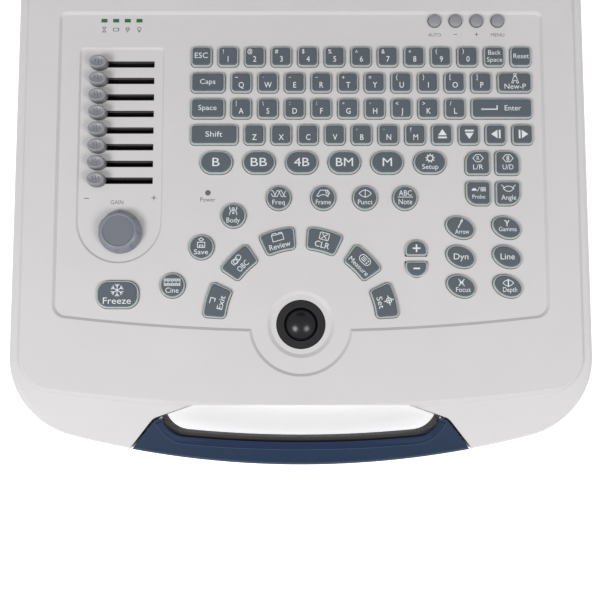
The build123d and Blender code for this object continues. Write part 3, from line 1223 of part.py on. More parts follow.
KNUCKLE_HALF = LEAF_WIDTH / 2
LEAF_BACK = -LEAF_N + LEAF_THICKNESS / 2  # behind the axis
with BuildPart() as hinge_leaves:
    # steel pins turning in the brackets, with knuckles and leaves inside the lid
    for side in (-1, 1):
        far, near = side * (EAR_X + KNUCKLE_HALF), side * (TOWER_X - TOWER_WIDTH / 2 + 2)
        with BuildSketch(LID_EDGE.offset(min(far, near))):
            Circle(HINGE_PIN_R)
        extrude(amount=abs(far - near))
        with BuildSketch(LID_EDGE.offset(side * EAR_X - KNUCKLE_HALF)):
            Circle(HINGE_BARREL_R)
            with Locations((0, -4)):
                Rectangle(LEAF_BACK, 8, align=(Align.MIN, Align.MIN))
            with Locations((LEAF_BACK, -4)):
                Rectangle(LEAF_THICKNESS, LEAF_TOP + 4, align=(Align.MAX, Align.MIN))
        extrude(amount=LEAF_WIDTH)
save(hinge_leaves.part, "hinge_leaves")

# ---------------------------------------------------------------- the screen
LID_MID = LID_FOOT + LID_HEIGHT / 2
LID_SCREWS = [(i * LID_SCREW_X, j) for i in (-1, 1) for j in (LID_FOOT + LID_SCREW_ENDS, LID_TOP - LID_SCREW_ENDS)]


def lid_face(n, inset):
    """A sketch of the lid's outline, n in front of the hinge axis and moved in by inset."""
    with BuildSketch(lid_level(n)) as face:
        with Locations((0, LID_MID)):
            RectangleRounded(LID_WIDTH - 2 * inset, LID_HEIGHT - 2 * inset, max(LID_CORNER_R - inset, 1))
    return face.sketch


with BuildPart() as screen_back_cover:
    # a shallow moulded tray with a round-edged back, and two ears that take the hinges
    add(lid_face(LID_SPLIT, 0))
    extrude(amount=LID_BACK + LID_SPLIT, dir=-LID.z_dir)
    soften(screen_back_cover.faces().sort_by(Axis(LID.origin, LID.z_dir))[0].edges(), LID_BACK_EDGE_R, 3)
    for side in (-1, 1):
        with BuildSketch(LID_EDGE.offset(side * EAR_X - EAR_WIDTH / 2)):
            Circle(EAR_R)
            with Locations((EAR_R, 0)):
                Rectangle(1.6 * EAR_R, LID_FOOT - 0.1, align=(Align.MAX, Align.MIN))
                Rectangle(EAR_R + LID_SPLIT - 0.1, LID_FOOT + 4, align=(Align.MAX, Align.MIN))
        extrude(amount=EAR_WIDTH)
    add(lid_face(LID_SPLIT, LID_WALL))
    extrude(amount=LID_BACK + LID_SPLIT - LID_WALL, dir=-LID.z_dir, mode=Mode.SUBTRACT)
    for side in (-1, 1):
        with BuildSketch(LID_EDGE.offset(side * EAR_X - KNUCKLE_HALF - 0.3)):
            Circle(HINGE_BARREL_R + 0.3)
            with Locations((0, -4.3)):
                Rectangle(LEAF_BACK + 0.3, LID_FOOT + LID_WALL + 5, align=(Align.MIN, Align.MIN))
        extrude(amount=LEAF_WIDTH + 0.6, mode=Mode.SUBTRACT)
        inner, outer = side * (EAR_X - EAR_WIDTH / 2 - 1), side * EAR_X
        with BuildSketch(LID_EDGE.offset(min(inner, outer))):
            Circle(HINGE_PIN_R + 0.3)
        extrude(amount=abs(outer - inner), mode=Mode.SUBTRACT)
    with BuildSketch(lid_level(LID_SPLIT)):
        with Locations(*LID_SCREWS):
            Circle(LID_BOSS_R)
    extrude(amount=-(LID_BACK + LID_SPLIT - LID_WALL / 2))
    with BuildSketch(lid_level(-LID_BACK)):
        with Locations(*LID_SCREWS):
            Circle(2.6)
    extrude(amount=2.2, mode=Mode.SUBTRACT)
    with BuildSketch(lid_level(-LID_BACK)):
        with Locations(*LID_SCREWS):
            Circle(SCREW_R + 0.3)
    extrude(amount=LID_BACK, mode=Mode.SUBTRACT)
save(screen_back_cover.part, "screen_back_cover")

with BuildPart() as screen_bezel:
    # the front frame: a flat border round the glass inside a raised rim
    add(lid_face(LID_SPLIT, 0))
    extrude(amount=LIP_FACE - LID_SPLIT, dir=LID.z_dir)
    soften(screen_bezel.faces().sort_by(Axis(LID.origin, LID.z_dir))[-1].edges(), 1.5, 1)
    with BuildSketch(lid_level(LIP_FACE)):
        with Locations((0, LID_MID)):
            RectangleRounded(
                LID_WIDTH - 2 * LIP_WIDTH, LID_HEIGHT - 2 * LIP_WIDTH, LID_CORNER_R - LIP_WIDTH
            )
    extrude(amount=BEZEL_FACE - LIP_FACE, taper=LIP_SLOPE, mode=Mode.SUBTRACT)
    with BuildSketch(lid_level(LID_SPLIT)):
        with Locations((0, LID_MID)):
            RectangleRounded(LID_WIDTH - 2 * LID_WALL, LID_HEIGHT - 2 * LID_WALL, LID_CORNER_R - LID_WALL)
    extrude(amount=LCD_FRONT + 0.2 - LID_SPLIT, mode=Mode.SUBTRACT)
    with BuildSketch(lid_level(LCD_FRONT)):
        with Locations((0, LID_MID)):
            Rectangle(*SCREEN_SIZE)
    extrude(amount=LIP_FACE, mode=Mode.SUBTRACT)
    with BuildSketch(lid_level(LID_SPLIT)):
        with Locations(*LID_SCREWS):
            Circle(LID_BOSS_R)
    extrude(amount=LCD_FRONT + 0.3 - LID_SPLIT)
    with BuildSketch(lid_level(LID_SPLIT)):
        with Locations(*LID_SCREWS):
            Circle(SCREW_R + PILOT_CLEAR)
    extrude(amount=5, mode=Mode.SUBTRACT)
save(screen_bezel.part, "screen_bezel")

with BuildPart() as lcd_panel:
    # the display module with a driver board on its back
    with BuildSketch(lid_level(LCD_BACK)):
        with Locations((0, LID_MID)):
            Rectangle(*LCD_SIZE)
    extrude(amount=LCD_FRONT - LCD_BACK)
    with BuildSketch(lid_level(LCD_BACK)):
        with Locations((0, LID_MID + 50)):
            Rectangle(120, 60)
    extrude(amount=-4)
save(lcd_panel.part, "lcd_panel")

with BuildPart() as lid_bumpers:
    # four little rubber studs that keep the closed lid off the deck
    with BuildSketch(lid_level(LIP_FACE)):
        with Locations((0, LID_MID)):
            with GridLocations(LID_WIDTH - LIP_WIDTH, LID_HEIGHT - 60, 2, 2):
                Circle(BUMPER_R)
    extrude(amount=HINGE_RISE - LIP_FACE - BUMPER_GAP)
save(lid_bumpers.part, "lid_bumpers")

with BuildPart() as lid_screws:
    # four countersunk-seat screws that close the lid from behind
    with BuildSketch(lid_level(-LID_BACK + 0.3)):
        with Locations(*LID_SCREWS):
            Circle(2.3)
            Rectangle(2.4, 0.7, mode=Mode.SUBTRACT)
            Rectangle(0.7, 2.4, mode=Mode.SUBTRACT)
    extrude(amount=0.8)
    with BuildSketch(lid_level(-LID_BACK + 1.1)):
        with Locations(*LID_SCREWS):
            Circle(2.3)
    extrude(amount=1.1)
    with BuildSketch(lid_level(-LID_BACK + 2.2)):
        with Locations(*LID_SCREWS):
            Circle(SCREW_R)
    extrude(amount=LID_BACK - 1.0)
save(lid_screws.part, "lid_screws")
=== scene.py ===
from math import cos, pi, radians, sin

import bpy
import numpy as np
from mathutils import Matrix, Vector


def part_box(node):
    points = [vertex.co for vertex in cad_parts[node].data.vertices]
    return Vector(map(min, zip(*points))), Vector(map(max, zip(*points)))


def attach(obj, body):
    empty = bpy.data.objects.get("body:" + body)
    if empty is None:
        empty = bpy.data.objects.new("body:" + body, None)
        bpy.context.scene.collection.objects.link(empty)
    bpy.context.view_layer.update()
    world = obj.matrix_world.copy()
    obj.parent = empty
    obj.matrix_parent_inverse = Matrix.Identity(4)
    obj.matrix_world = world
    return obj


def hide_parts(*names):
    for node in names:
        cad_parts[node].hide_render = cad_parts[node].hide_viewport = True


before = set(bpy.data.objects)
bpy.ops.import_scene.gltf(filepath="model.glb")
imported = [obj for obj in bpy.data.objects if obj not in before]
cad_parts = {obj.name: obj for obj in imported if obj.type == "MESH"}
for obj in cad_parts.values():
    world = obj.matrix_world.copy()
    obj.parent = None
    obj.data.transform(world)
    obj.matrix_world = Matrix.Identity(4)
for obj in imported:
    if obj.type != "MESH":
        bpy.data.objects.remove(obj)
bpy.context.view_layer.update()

# ---------------------------------------------------------------- the case
# Two thick shells of light warm-grey ABS, injection moulded with a fine spark texture and joined along a
# level line. The lower one is a drafted tub, and the upper one carries the raised deck and its sunken panels.
MM = 0.001
BALL_LOW, BALL_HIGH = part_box("trackball")
BALL = (np.array(BALL_LOW) + np.array(BALL_HIGH)) / 2  # the plan is counted from the ball's axis
TOWER_RISE = 30.5 * MM  # how far the hinge towers stand above the deck
PANEL_DEPTH = 1.5 * MM  # how far the control panel is sunk into the deck
DECK_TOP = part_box("upper_case")[1][2] - TOWER_RISE
PANEL_TOP = DECK_TOP - PANEL_DEPTH


def moulded(name, colour, roughness, grain=0.35, depth=0.02, mottle=0.05, coat=0.0, specular=0.5):
    """Moulded plastic: a grain of bumps, grain mm wide and depth mm deep, and a slow drift in shade and in
    gloss."""
    material = bpy.data.materials.new(name)
    material.use_nodes = True
    nodes, links = material.node_tree.nodes, material.node_tree.links
    shader = nodes["Principled BSDF"]
    place = nodes.new("ShaderNodeTexCoord")
    bumps = nodes.new("ShaderNodeTexNoise")
    bumps.inputs["Scale"].default_value = 1 / (grain * MM)
    bumps.inputs["Detail"].default_value = 2.0
    drift = nodes.new("ShaderNodeTexNoise")
    drift.inputs["Scale"].default_value = 38.0
    drift.inputs["Detail"].default_value = 4.0
    links.new(place.outputs["Object"], bumps.inputs["Vector"])
    links.new(place.outputs["Object"], drift.inputs["Vector"])
    shade = nodes.new("ShaderNodeValToRGB")
    shade.color_ramp.elements[0].position = 0.3
    shade.color_ramp.elements[1].position = 0.7
    shade.color_ramp.elements[0].color = (*[c * (1 - mottle) for c in colour], 1)
    shade.color_ramp.elements[1].color = (*[min(1, c * (1 + mottle)) for c in colour], 1)
    links.new(drift.outputs["Fac"], shade.inputs["Fac"])
    links.new(shade.outputs["Color"], shader.inputs["Base Color"])
    gloss = nodes.new("ShaderNodeMapRange")
    gloss.inputs["To Min"].default_value = roughness * 0.9
    gloss.inputs["To Max"].default_value = min(1.0, roughness * 1.1)
    links.new(drift.outputs["Fac"], gloss.inputs["Value"])
    links.new(gloss.outputs["Result"], shader.inputs["Roughness"])
    relief = nodes.new("ShaderNodeBump")
    relief.inputs["Strength"].default_value = 1.0
    relief.inputs["Distance"].default_value = depth * MM
    links.new(bumps.outputs["Fac"], relief.inputs["Height"])
    links.new(relief.outputs["Normal"], shader.inputs["Normal"])
    shader.inputs["Coat Weight"].default_value = coat
    shader.inputs["Specular IOR Level"].default_value = specular
    return material


def finish_node(material, *names):
    """Gives CAD nodes that material."""
    for name in names:
        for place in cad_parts[name].material_slots:
            place.material = material


case_plastic = moulded(
    "case_plastic", (0.56, 0.548, 0.552), 0.5, grain=0.5, depth=0.012, mottle=0.012, specular=0.4
)
finish_node(case_plastic, "upper_case", "lower_case")

# ---------------------------------------------------------------- the carrying handle
# A blue ABS cover snapped over a dark nylon bar, which bridges the cut in the case's front.
# Both are moulded with a fine texture, and the bar is ribbed and rough where the fingers close round it.
handle_blue = moulded(
    "handle_blue", (0.011, 0.026, 0.059), 0.5, grain=0.6, depth=0.012, mottle=0.04, specular=0.2
)
handle_nylon = moulded("handle_nylon", (0.03, 0.029, 0.031), 0.6, grain=0.8, depth=0.03, specular=0.25)
finish_node(handle_blue, "handle_cover")
finish_node(handle_nylon, "handle_core")

# ---------------------------------------------------------------- the keys' caps
# Each key is a dark slate cap, double-shot over a clear-grey rim that stands round it like a collar.
# The caps are flat on top with softly rounded edges, and glide in openings in the panel.
KEY_RIM, KEY_LIP = 1.1, 0.9
CAP_EDGE, CAP_SINK = 0.5, 0.02  # a cap's edge radius, and how far its middle lies below its edge
FOOT_LIFT = 0.2 * MM  # the caps start this far above the feet of their nodes
PRINT_ROOM = 0.08 * MM  # the caps stay this far below their tops for the print
CORNER_STEPS, SIDE_STEPS = 7, 8


def rounded_outline(half_width, half_height, radii, grow):
    """Points of a rectangle with four corner radii (upper right first, anticlockwise), moved out by grow: a
    quarter circle at each corner, and even steps along the straight side that follows it."""
    half = np.array([half_width + grow, half_height + grow])
    stretches = []
    quarter = np.linspace(0, pi / 2, CORNER_STEPS)
    for turn, (sx, sy) in enumerate(((1, 1), (-1, 1), (-1, -1), (1, -1))):
        radius = max(radii[turn] + grow, 0.05)
        centre = np.array([sx, sy]) * (half - radius)
        angle = quarter + turn * pi / 2
        stretches.append(centre + radius * np.stack([np.cos(angle), np.sin(angle)], axis=1))
    filled = []
    for arc, following in zip(stretches, stretches[1:] + stretches[:1]):
        steps = np.linspace(0, 1, SIDE_STEPS + 1)[1:-1, None]
        filled += [arc, arc[-1] + (following[0] - arc[-1]) * steps]
    return np.concatenate(filled)


def oval_outline(half_width, half_height, grow):
    """Points of an ellipse whose half-axes are both lengthened by grow."""
    angle = np.linspace(0, 2 * pi, 4 * (CORNER_STEPS + SIDE_STEPS - 1), endpoint=False)
    return np.stack([(half_width + grow) * np.cos(angle), (half_height + grow) * np.sin(angle)], axis=1)


def key_outline(key, grow):
    """A key's outline in mm from the trackball's axis: its own shape, then bent round that axis if it is one
    of the ring of keys, or turned and moved to its place."""
    kind, size, x, y, turn = key
    if kind == "oval":
        points = oval_outline(*size, grow)
    else:
        points = rounded_outline(*size, grow)
    if kind == "arc":
        radius = y + points[:, 1]
        angle = radians(turn) + points[:, 0] / y
        return np.stack([radius * np.sin(angle), radius * np.cos(angle)], axis=1)
    c, s = cos(radians(turn)), sin(radians(turn))
    return points @ np.array([[c, s], [-s, c]]) + (x, y)


def ringed_mesh(name, grids, tube):
    """One mesh from several grids of rings (grid, ring, point, xyz): quads join each ring to the next. A
    tube's last ring joins its first; otherwise a pole at the middle of the end rings closes each end."""
    count, rings, around = grids.shape[:3]
    grid, ring, point = np.meshgrid(
        np.arange(count), np.arange(rings if tube else rings - 1), np.arange(around), indexing="ij"
    )

    def vertex(ring_number, point_number):
        return (grid * rings + ring_number % rings) * around + point_number % around

    corners = [vertex(ring, point), vertex(ring, point + 1)]
    corners += [vertex(ring + 1, point + 1), vertex(ring + 1, point)]
    quads = np.stack(corners, axis=-1).reshape(-1, 4)
    vertices = grids.reshape(-1, 3)
    faces = quads.tolist()
    if not tube:
        poles = np.concatenate([grids[:, 0].mean(axis=1), grids[:, -1].mean(axis=1)])
        first = len(vertices)
        vertices = np.concatenate([vertices, poles])
        g, p = np.meshgrid(np.arange(count), np.arange(around), indexing="ij")
        low = g * rings * around
        high = low + (rings - 1) * around
        under = np.stack([first + g, low + (p + 1) % around, low + p], axis=-1).reshape(-1, 3)
        over = np.stack([first + count + g, high + p, high + (p + 1) % around], axis=-1).reshape(-1, 3)
        faces += under.tolist() + over.tolist()
    mesh = bpy.data.meshes.new(name)
    mesh.from_pydata(vertices.tolist(), [], faces)
    mesh.polygons.foreach_set("use_smooth", np.ones(len(mesh.polygons), bool))
    return mesh


def place(name, mesh, body, slot, material, *nodes):
    """Puts a finished mesh into the scene: on its body, with its finish, in place of the CAD nodes named."""
    piece = bpy.data.objects.new(name, mesh)
    bpy.context.scene.collection.objects.link(piece)
    mesh.materials.append(material)
    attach(piece, body)
    if nodes:
        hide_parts(*nodes)


def place_rings(name, grids, tube, body, slot, material, *nodes):
    """Makes one mesh from grids of rings and places it."""
    place(name, ringed_mesh(name, grids, tube), body, slot, material, *nodes)


def at_deck(plan, height):
    """Points in metres from plan points in mm about the trackball's axis and heights in metres."""
    flat = np.asarray(plan) * MM + BALL[:2]
    level = np.asarray(height, float)[..., None]
    return np.concatenate([flat, np.broadcast_to(level, flat.shape[:-1] + (1,))], axis=-1)


def cap_grid(key, foot, top):
    """A cap's rings: straight up the side, over a quarter-round edge, then shrinking over the flat top, which
    sinks a little towards its middle."""
    rings = [at_deck(key_outline(key, 0), height) for height in (foot, top - CAP_EDGE * MM)]
    for lean in np.linspace(0, pi / 2, 5)[1:]:
        outline = key_outline(key, CAP_EDGE * (cos(lean) - 1))
        rings.append(at_deck(outline, top - CAP_EDGE * MM * (1 - sin(lean))))
    rim = rings[-1]
    middle = rim.mean(axis=0)
    for share in (0.97, 0.8, 0.5, 0.2):
        inner = middle + (rim - middle) * share
        inner[:, 2] = top - CAP_SINK * MM * (1 - share**2)
        rings.append(inner)
    return np.stack(rings)


def rim_grid(key, foot, top):
    """A clear rim's closed profile: up the outside, over a narrow rounded shoulder, and down by the cap."""
    profile = [(KEY_RIM, foot), (KEY_RIM, top - 1.3 * MM), (KEY_RIM - 0.12, top - 1.02 * MM)]
    profile += [(KEY_RIM - 0.4, top - 0.92 * MM), (0.15, top - 0.86 * MM), (0.05, top - 0.86 * MM)]
    profile.append((0.05, foot))
    return np.stack([at_deck(key_outline(key, grow), height) for grow, height in profile])


def clear_grey(name):
    """The rims' clear-grey acrylic: lets light in, so that it glows a little beside the dark cap."""
    material = moulded(name, (0.42, 0.455, 0.455), 0.28, grain=1.2, depth=0.006, mottle=0.05)
    shader = material.node_tree.nodes["Principled BSDF"]
    shader.inputs["Subsurface Weight"].default_value = 0.35
    shader.inputs["Subsurface Radius"].default_value = (0.0015, 0.0015, 0.0015)
    shader.inputs["Subsurface Scale"].default_value = 1.0
    shader.inputs["Transmission Weight"].default_value = 0.12
    return material


slate_cap = moulded(
    "slate_cap", (0.086, 0.103, 0.120), 0.4, grain=0.45, depth=0.008, mottle=0.03, specular=0.35
)
rim_clear = clear_grey("rim_clear")


def build_keys(node, keys):
    """The caps and the rims of one group of keys, in place of its CAD node."""
    low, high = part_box(node)
    foot, top = low[2] + FOOT_LIFT, high[2] - PRINT_ROOM
    caps = np.stack([cap_grid(key, foot, top) for key in keys])
    rims = np.stack([rim_grid(key, foot, top) for key in keys])
    place_rings(node + ".caps", caps, False, node, "key_plastic", slate_cap, node)
    place_rings(node + ".rims", rims, True, node, "key_plastic", rim_clear)


def plan_box(node):
    """A key group's plan in mm from the trackball's axis, without the hidden flange and the rims: left,
    front, right and back."""
    low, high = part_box(node)
    hidden = KEY_RIM + KEY_LIP
    left, front = (np.array(low)[:2] - BALL[:2]) / MM + hidden
    right, back = (np.array(high)[:2] - BALL[:2]) / MM - hidden
    return left, front, right, back


PITCH, CAP, CORNER = 17.0, 11.0, 1.6
GAP = PITCH - CAP
SQUARE = (CAP / 2, CAP / 2, (CORNER,) * 4)


def typing_row(node, first_wide, squares, last_wide):
    """A row of typing keys from left to right: perhaps a wide one, then squares, then perhaps a wide one that
    fills the row. The first wide key is given by the middle of the square beside it."""
    left, front, right, back = plan_box(node)
    y = (front + back) / 2
    keys = []
    start = left + CAP / 2
    if first_wide is not None:
        end = first_wide - CAP / 2 - GAP
        keys.append(("box", ((end - left) / 2, CAP / 2, (CORNER,) * 4), (left + end) / 2, y, 0))
        start = first_wide
    keys += [("box", SQUARE, start + i * PITCH, y, 0) for i in range(squares)]
    if last_wide:
        begin = keys[-1][2] + CAP / 2 + GAP
        keys.append(("box", ((right - begin) / 2, CAP / 2, (CORNER,) * 4), (begin + right) / 2, y, 0))
    return keys


LETTER_X, LOWER_LETTER_X = -38.0, -29.5
NUMBER_ROW = typing_row("number_row_keys", None, 13, False)
UPPER_ROW = typing_row("upper_letter_keys", LETTER_X, 10, True)
HOME_ROW = typing_row("home_letter_keys", LETTER_X, 9, True)
LOWER_ROW = typing_row("lower_letter_keys", LOWER_LETTER_X, 11, False)
for node, keys in (
    ("number_row_keys", NUMBER_ROW),
    ("upper_letter_keys", UPPER_ROW),
    ("home_letter_keys", HOME_ROW),
    ("lower_letter_keys", LOWER_ROW),
):
    build_keys(node, keys)

# ---------------------------------------------------------------- the function keys
# The same two-colour mouldings in other outlines: long ovals, discs, leaves, and a ring of curved keys about
# the trackball.
left, front, right, back = plan_box("mode_keys")
MODE_HALF = (9.25, 6.3)
MODE_SIZE = (*MODE_HALF, (MODE_HALF[1] - 0.01,) * 4)  # the ends are all but half circles
mode_pitch = (right - left - 2 * MODE_HALF[0]) / 5
MODE_KEYS = [
    ("box", MODE_SIZE, left + MODE_HALF[0] + i * mode_pitch, (front + back) / 2, 0) for i in range(6)
]
left, front, right, back = plan_box("flip_and_probe_keys")
LEAF, LEAF_TIP = 6.7, 6
FLIP_KEYS = [
    ("box", (LEAF, LEAF, radii), x, y, 0)
    for x, y, radii in (
        (left + LEAF, back - LEAF, (CORNER, LEAF_TIP, CORNER, CORNER)),
        (right - LEAF, back - LEAF, (LEAF_TIP, CORNER, CORNER, CORNER)),
        (left + LEAF, front + LEAF, (CORNER, CORNER, LEAF_TIP, CORNER)),
        (right - LEAF, front + LEAF, (CORNER, CORNER, CORNER, LEAF_TIP)),
    )
]
DISC = (6.75, 6.75)
ROUND_STEPS = (0, 28.1, 54.4, 79.6)  # from the first disc to each
left, front, right, back = plan_box("round_keys")
ROUND_KEYS = [("oval", DISC, left + DISC[0] + step, (front + back) / 2, 0) for step in ROUND_STEPS]
STORE_STEP_X, STORE_STEP_Y = 19.9, 20.0
left, front, right, back = plan_box("store_keys")
STORE_KEYS = [
    ("oval", DISC, right - DISC[0], back - DISC[0], 0),
    ("oval", DISC, right - DISC[0] - STORE_STEP_X, back - DISC[0] - STORE_STEP_Y, 0),
    ("oval", DISC, left + DISC[0], front + DISC[0], 0),
]
ARC_R, ARC_STEP = 54.2, 30
ARC_SIZE = (9.3, 6.1, (CORNER,) * 4)
ARC_KEYS = [("arc", ARC_SIZE, 0, ARC_R, (i - 2.5) * ARC_STEP) for i in range(6)]


def single_key(node, radii):
    """A key that fills its node's plan by itself, with four corner radii."""
    left, front, right, back = plan_box(node)
    size = ((right - left) / 2, (back - front) / 2, radii)
    return [("box", size, (left + right) / 2, (front + back) / 2, 0)]


FREEZE_CORNER = 6
ZOOM_BROAD, ZOOM_TIGHT = 5.3, 0.6  # plus and minus are the two halves of one round button
FREEZE_KEY = single_key("freeze_key", (FREEZE_CORNER,) * 4)
PLUS_KEY = single_key("plus_key", (ZOOM_BROAD, ZOOM_BROAD, ZOOM_TIGHT, ZOOM_TIGHT))
MINUS_KEY = single_key("minus_key", (ZOOM_TIGHT, ZOOM_TIGHT, ZOOM_BROAD, ZOOM_BROAD))
left, front, right, back = plan_box("image_keys")
IMAGE_X, IMAGE_Y = (left + right) / 2, (front + back) / 2
IMAGE_ACROSS, IMAGE_UP = 29.1, 18.5  # from one key to the next
IMAGE_HALF, IMAGE_TURN = (8.45, 5.75), -25
IMAGE_KEYS = [
    ("oval", IMAGE_HALF, IMAGE_X + (i - 0.5) * IMAGE_ACROSS, IMAGE_Y + (1 - j) * IMAGE_UP, IMAGE_TURN)
    for i in range(2)
    for j in range(3)
]
for node, keys in (
    ("mode_keys", MODE_KEYS),
    ("flip_and_probe_keys", FLIP_KEYS),
    ("round_keys", ROUND_KEYS),
    ("store_keys", STORE_KEYS),
    ("freeze_key", FREEZE_KEY),
    ("arc_keys", ARC_KEYS),
    ("plus_key", PLUS_KEY),
    ("minus_key", MINUS_KEY),
    ("image_keys", IMAGE_KEYS),
):
    build_keys(node, keys)

# ---------------------------------------------------------------- the monitor buttons
# Four soft domed buttons of mid-grey silicone, for the screen's own settings.
silicone_grey = moulded("silicone_grey", (0.24, 0.245, 0.26), 0.5, grain=0.5, depth=0.01)
low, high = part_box("monitor_buttons")
left, front, right, back = plan_box("monitor_buttons")
BUTTON_R = 3.0
MONITOR_R = BUTTON_R + KEY_RIM  # a dome has no clear rim, and takes that room too
DOME_RISE = 1.4 * MM
monitor_span = right - left - 2 * BUTTON_R
MONITOR_KEYS = [
    ("oval", (MONITOR_R, MONITOR_R), left + BUTTON_R + i * monitor_span / 3, (front + back) / 2, 0)
    for i in range(4)
]


def dome_grid(key, foot, top):
    """Straight up the side, then over in a quarter ellipse, as tall as the dome rises."""
    rings = [at_deck(key_outline(key, 0), foot)]
    for lean in np.linspace(0, pi / 2, 10)[:-1]:
        outline = key_outline(key, MONITOR_R * (cos(lean) - 1))
        rings.append(at_deck(outline, top - DOME_RISE * (1 - sin(lean))))
    return np.stack(rings)


domes = np.stack([dome_grid(key, low[2] + FOOT_LIFT, high[2]) for key in MONITOR_KEYS])
place_rings(
    "monitor_buttons.domes",
    domes,
    False,
    "monitor_buttons",
    "knob_plastic",
    silicone_grey,
    "monitor_buttons",
)

# ---------------------------------------------------------------- the legends on the keys
# Characters, words and small signs printed on the caps in off-white ink, a few hundredths of a millimetre
# thick. Words are the built-in font made narrower, and signs are drawn with short straight strokes.
INK = 0.03 * MM
TRACE = 0.01 * MM  # the ink starts this far inside a cap, and this far above the panel
NARROW = 0.86


def font_mesh(text, bold):
    """The built-in font's outlines for a text, at size 1, as (points, faces) of a closed block."""
    curve = bpy.data.curves.new("word", "FONT")
    curve.body = text
    curve.extrude = 0.5
    curve.offset = bold
    curve.resolution_u = 3
    word = bpy.data.objects.new("word", curve)
    mesh = bpy.data.meshes.new_from_object(word)
    points = np.empty(len(mesh.vertices) * 3)
    mesh.vertices.foreach_get("co", points)
    faces = [list(face.vertices) for face in mesh.polygons]
    bpy.data.objects.remove(word)
    bpy.data.curves.remove(curve)
    bpy.data.meshes.remove(mesh)
    return points.reshape(-1, 3), faces


CAPITAL = np.ptp(font_mesh("H", 0.0)[0][:, 1])
glyphs = {}


def glyph(text, capital, width=None, bold=0.0):
    """A word whose capitals are so many mm tall: stretched or narrowed to a width, and centred on its
    capitals' middle. A text without letters or digits is centred on its own box."""
    key = (text, capital, width, bold)
    if key not in glyphs:
        points, faces = font_mesh(text, bold)
        tall = capital / CAPITAL
        wide = tall * NARROW if width is None else width / np.ptp(points[:, 0])
        points[:, 0] = (points[:, 0] - (points[:, 0].min() + points[:, 0].max()) / 2) * wide
        worded = any(c.isalnum() for c in text)
        middle = CAPITAL / 2 if worded else (points[:, 1].min() + points[:, 1].max()) / 2
        points[:, 1] = (points[:, 1] - middle) * tall
        glyphs[key] = (points, faces)
    return glyphs[key]


def slab(outline):
    """A flat sign from its corner points, given anticlockwise, as (points, faces) of a thin closed block."""
    outline = np.asarray(outline, float)
    n = len(outline)
    points = np.concatenate([np.column_stack([outline, np.full(n, z)]) for z in (-0.5, 0.5)])
    sides = [[i, (i + 1) % n, n + (i + 1) % n, n + i] for i in range(n)]
    return points, [list(range(n))[::-1], list(range(n, 2 * n))] + sides


def bar(x0, y0, x1, y1, width):
    """A straight stroke from one point to another."""
    along = np.array([x1 - x0, y1 - y0]) / max(np.hypot(x1 - x0, y1 - y0), 1e-9) * width / 2
    across = np.array([-along[1], along[0]])
    a, b = np.array([x0, y0]), np.array([x1, y1])
    return slab([a - along - across, b + along - across, b + along + across, a - along + across])


def joined(shapes):
    """Several shapes as one."""
    points, faces, first = [], [], 0
    for shape_points, shape_faces in shapes:
        points.append(shape_points)
        faces += [[first + i for i in face] for face in shape_faces]
        first += len(shape_points)
    return np.concatenate(points), faces


def drawn(width, *lines):
    """A sign drawn with one pen: each line is a row of points joined by straight strokes, and each stroke is
    a trace thicker than the one before, so that no two tops lie in one plane."""
    strokes = [bar(*a, *b, width) for line in lines for a, b in zip(line, line[1:])]
    count = len(strokes)
    return joined([(points * (1, 1, 1 + k / count), faces) for k, (points, faces) in enumerate(strokes)])


def ring(radius, x=0.0, y=0.0, start=0, end=360, steps=20):
    """Points of an arc in degrees about a centre."""
    angle = np.radians(np.linspace(start, end, steps + 1))
    return np.stack([x + radius * np.cos(angle), y + radius * np.sin(angle)], axis=1)


def bow(width, height, y=0.0):
    """Points of a parabola that rises by height between two ends that are width apart."""
    x = np.linspace(-width / 2, width / 2, 15)
    return np.stack([x, y + height * (1 - (2 * x / width) ** 2)], axis=1)


def box_line(width, height, x=0.0, y=0.0):
    """Points of a rectangle's edge."""
    w, h = width / 2, height / 2
    return [(x - w, y - h), (x + w, y - h), (x + w, y + h), (x - w, y + h), (x - w, y - h)]


def turned(line, degrees):
    """The same points turned about the middle."""
    c, s = cos(radians(degrees)), sin(radians(degrees))
    return np.asarray(line, float) @ np.array([[c, s], [-s, c]])


def mirrored(line):
    """The same points on the other side of the middle."""
    return [(-x, y) for x, y in line]


def printed(name, marks, height, body, slot, ink):
    """One piece from many marks: (shape, x, y, turn) with shapes in mm, laid flat at a height in metres."""
    shapes = []
    for (shape_points, shape_faces), x, y, turn in marks:
        flat = turned(shape_points[:, :2], turn) + (x, y)
        solid = np.column_stack([flat * MM + BALL[:2], height + (shape_points[:, 2] + 0.5) * INK])
        shapes.append((solid, shape_faces))
    points, faces = joined(shapes)
    mesh = bpy.data.meshes.new(name)
    mesh.from_pydata(points.tolist(), [], faces)
    place(name, mesh, body, slot, ink)


def legend(node, keys, signs):
    """Prints each key's signs, which are (shape, across, up) in the key's own directions, on its cap."""
    marks = []
    for (kind, size, x, y, turn), parts in zip(keys, signs):
        if kind == "arc":
            x, y, turn = y * sin(radians(turn)), y * cos(radians(turn)), -turn
        else:
            turn = 0
        for shape, across, up in parts:
            dx, dy = turned([(across, up)], turn)[0]
            marks.append((shape, x + dx, y + dy, turn))
    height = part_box(node)[1][2] - PRINT_ROOM - TRACE
    printed(node + ".print", marks, height, node, "key_plastic", white_ink)


def character(main, shifted=None):
    """A typing key's characters: the main one low in the middle, the shifted one small at the upper left."""
    parts = [(glyph(main, 3.6, None, 0.006), 0.1, -2.0)]
    if shifted:
        parts.append((glyph(shifted, 2.7, None, 0.008), -3.0, 2.9))
    return parts


def signed(sign, word, width, up=2.5, down=-3.0, capital=3.0, across=0.0):
    """A sign with a word under it."""
    return [(sign, 0, up), (glyph(word, capital, width), across, down)]


white_ink = moulded("white_ink", (0.66, 0.69, 0.71), 0.45, grain=0.25, depth=0.003, mottle=0.03)
PEN = 0.42

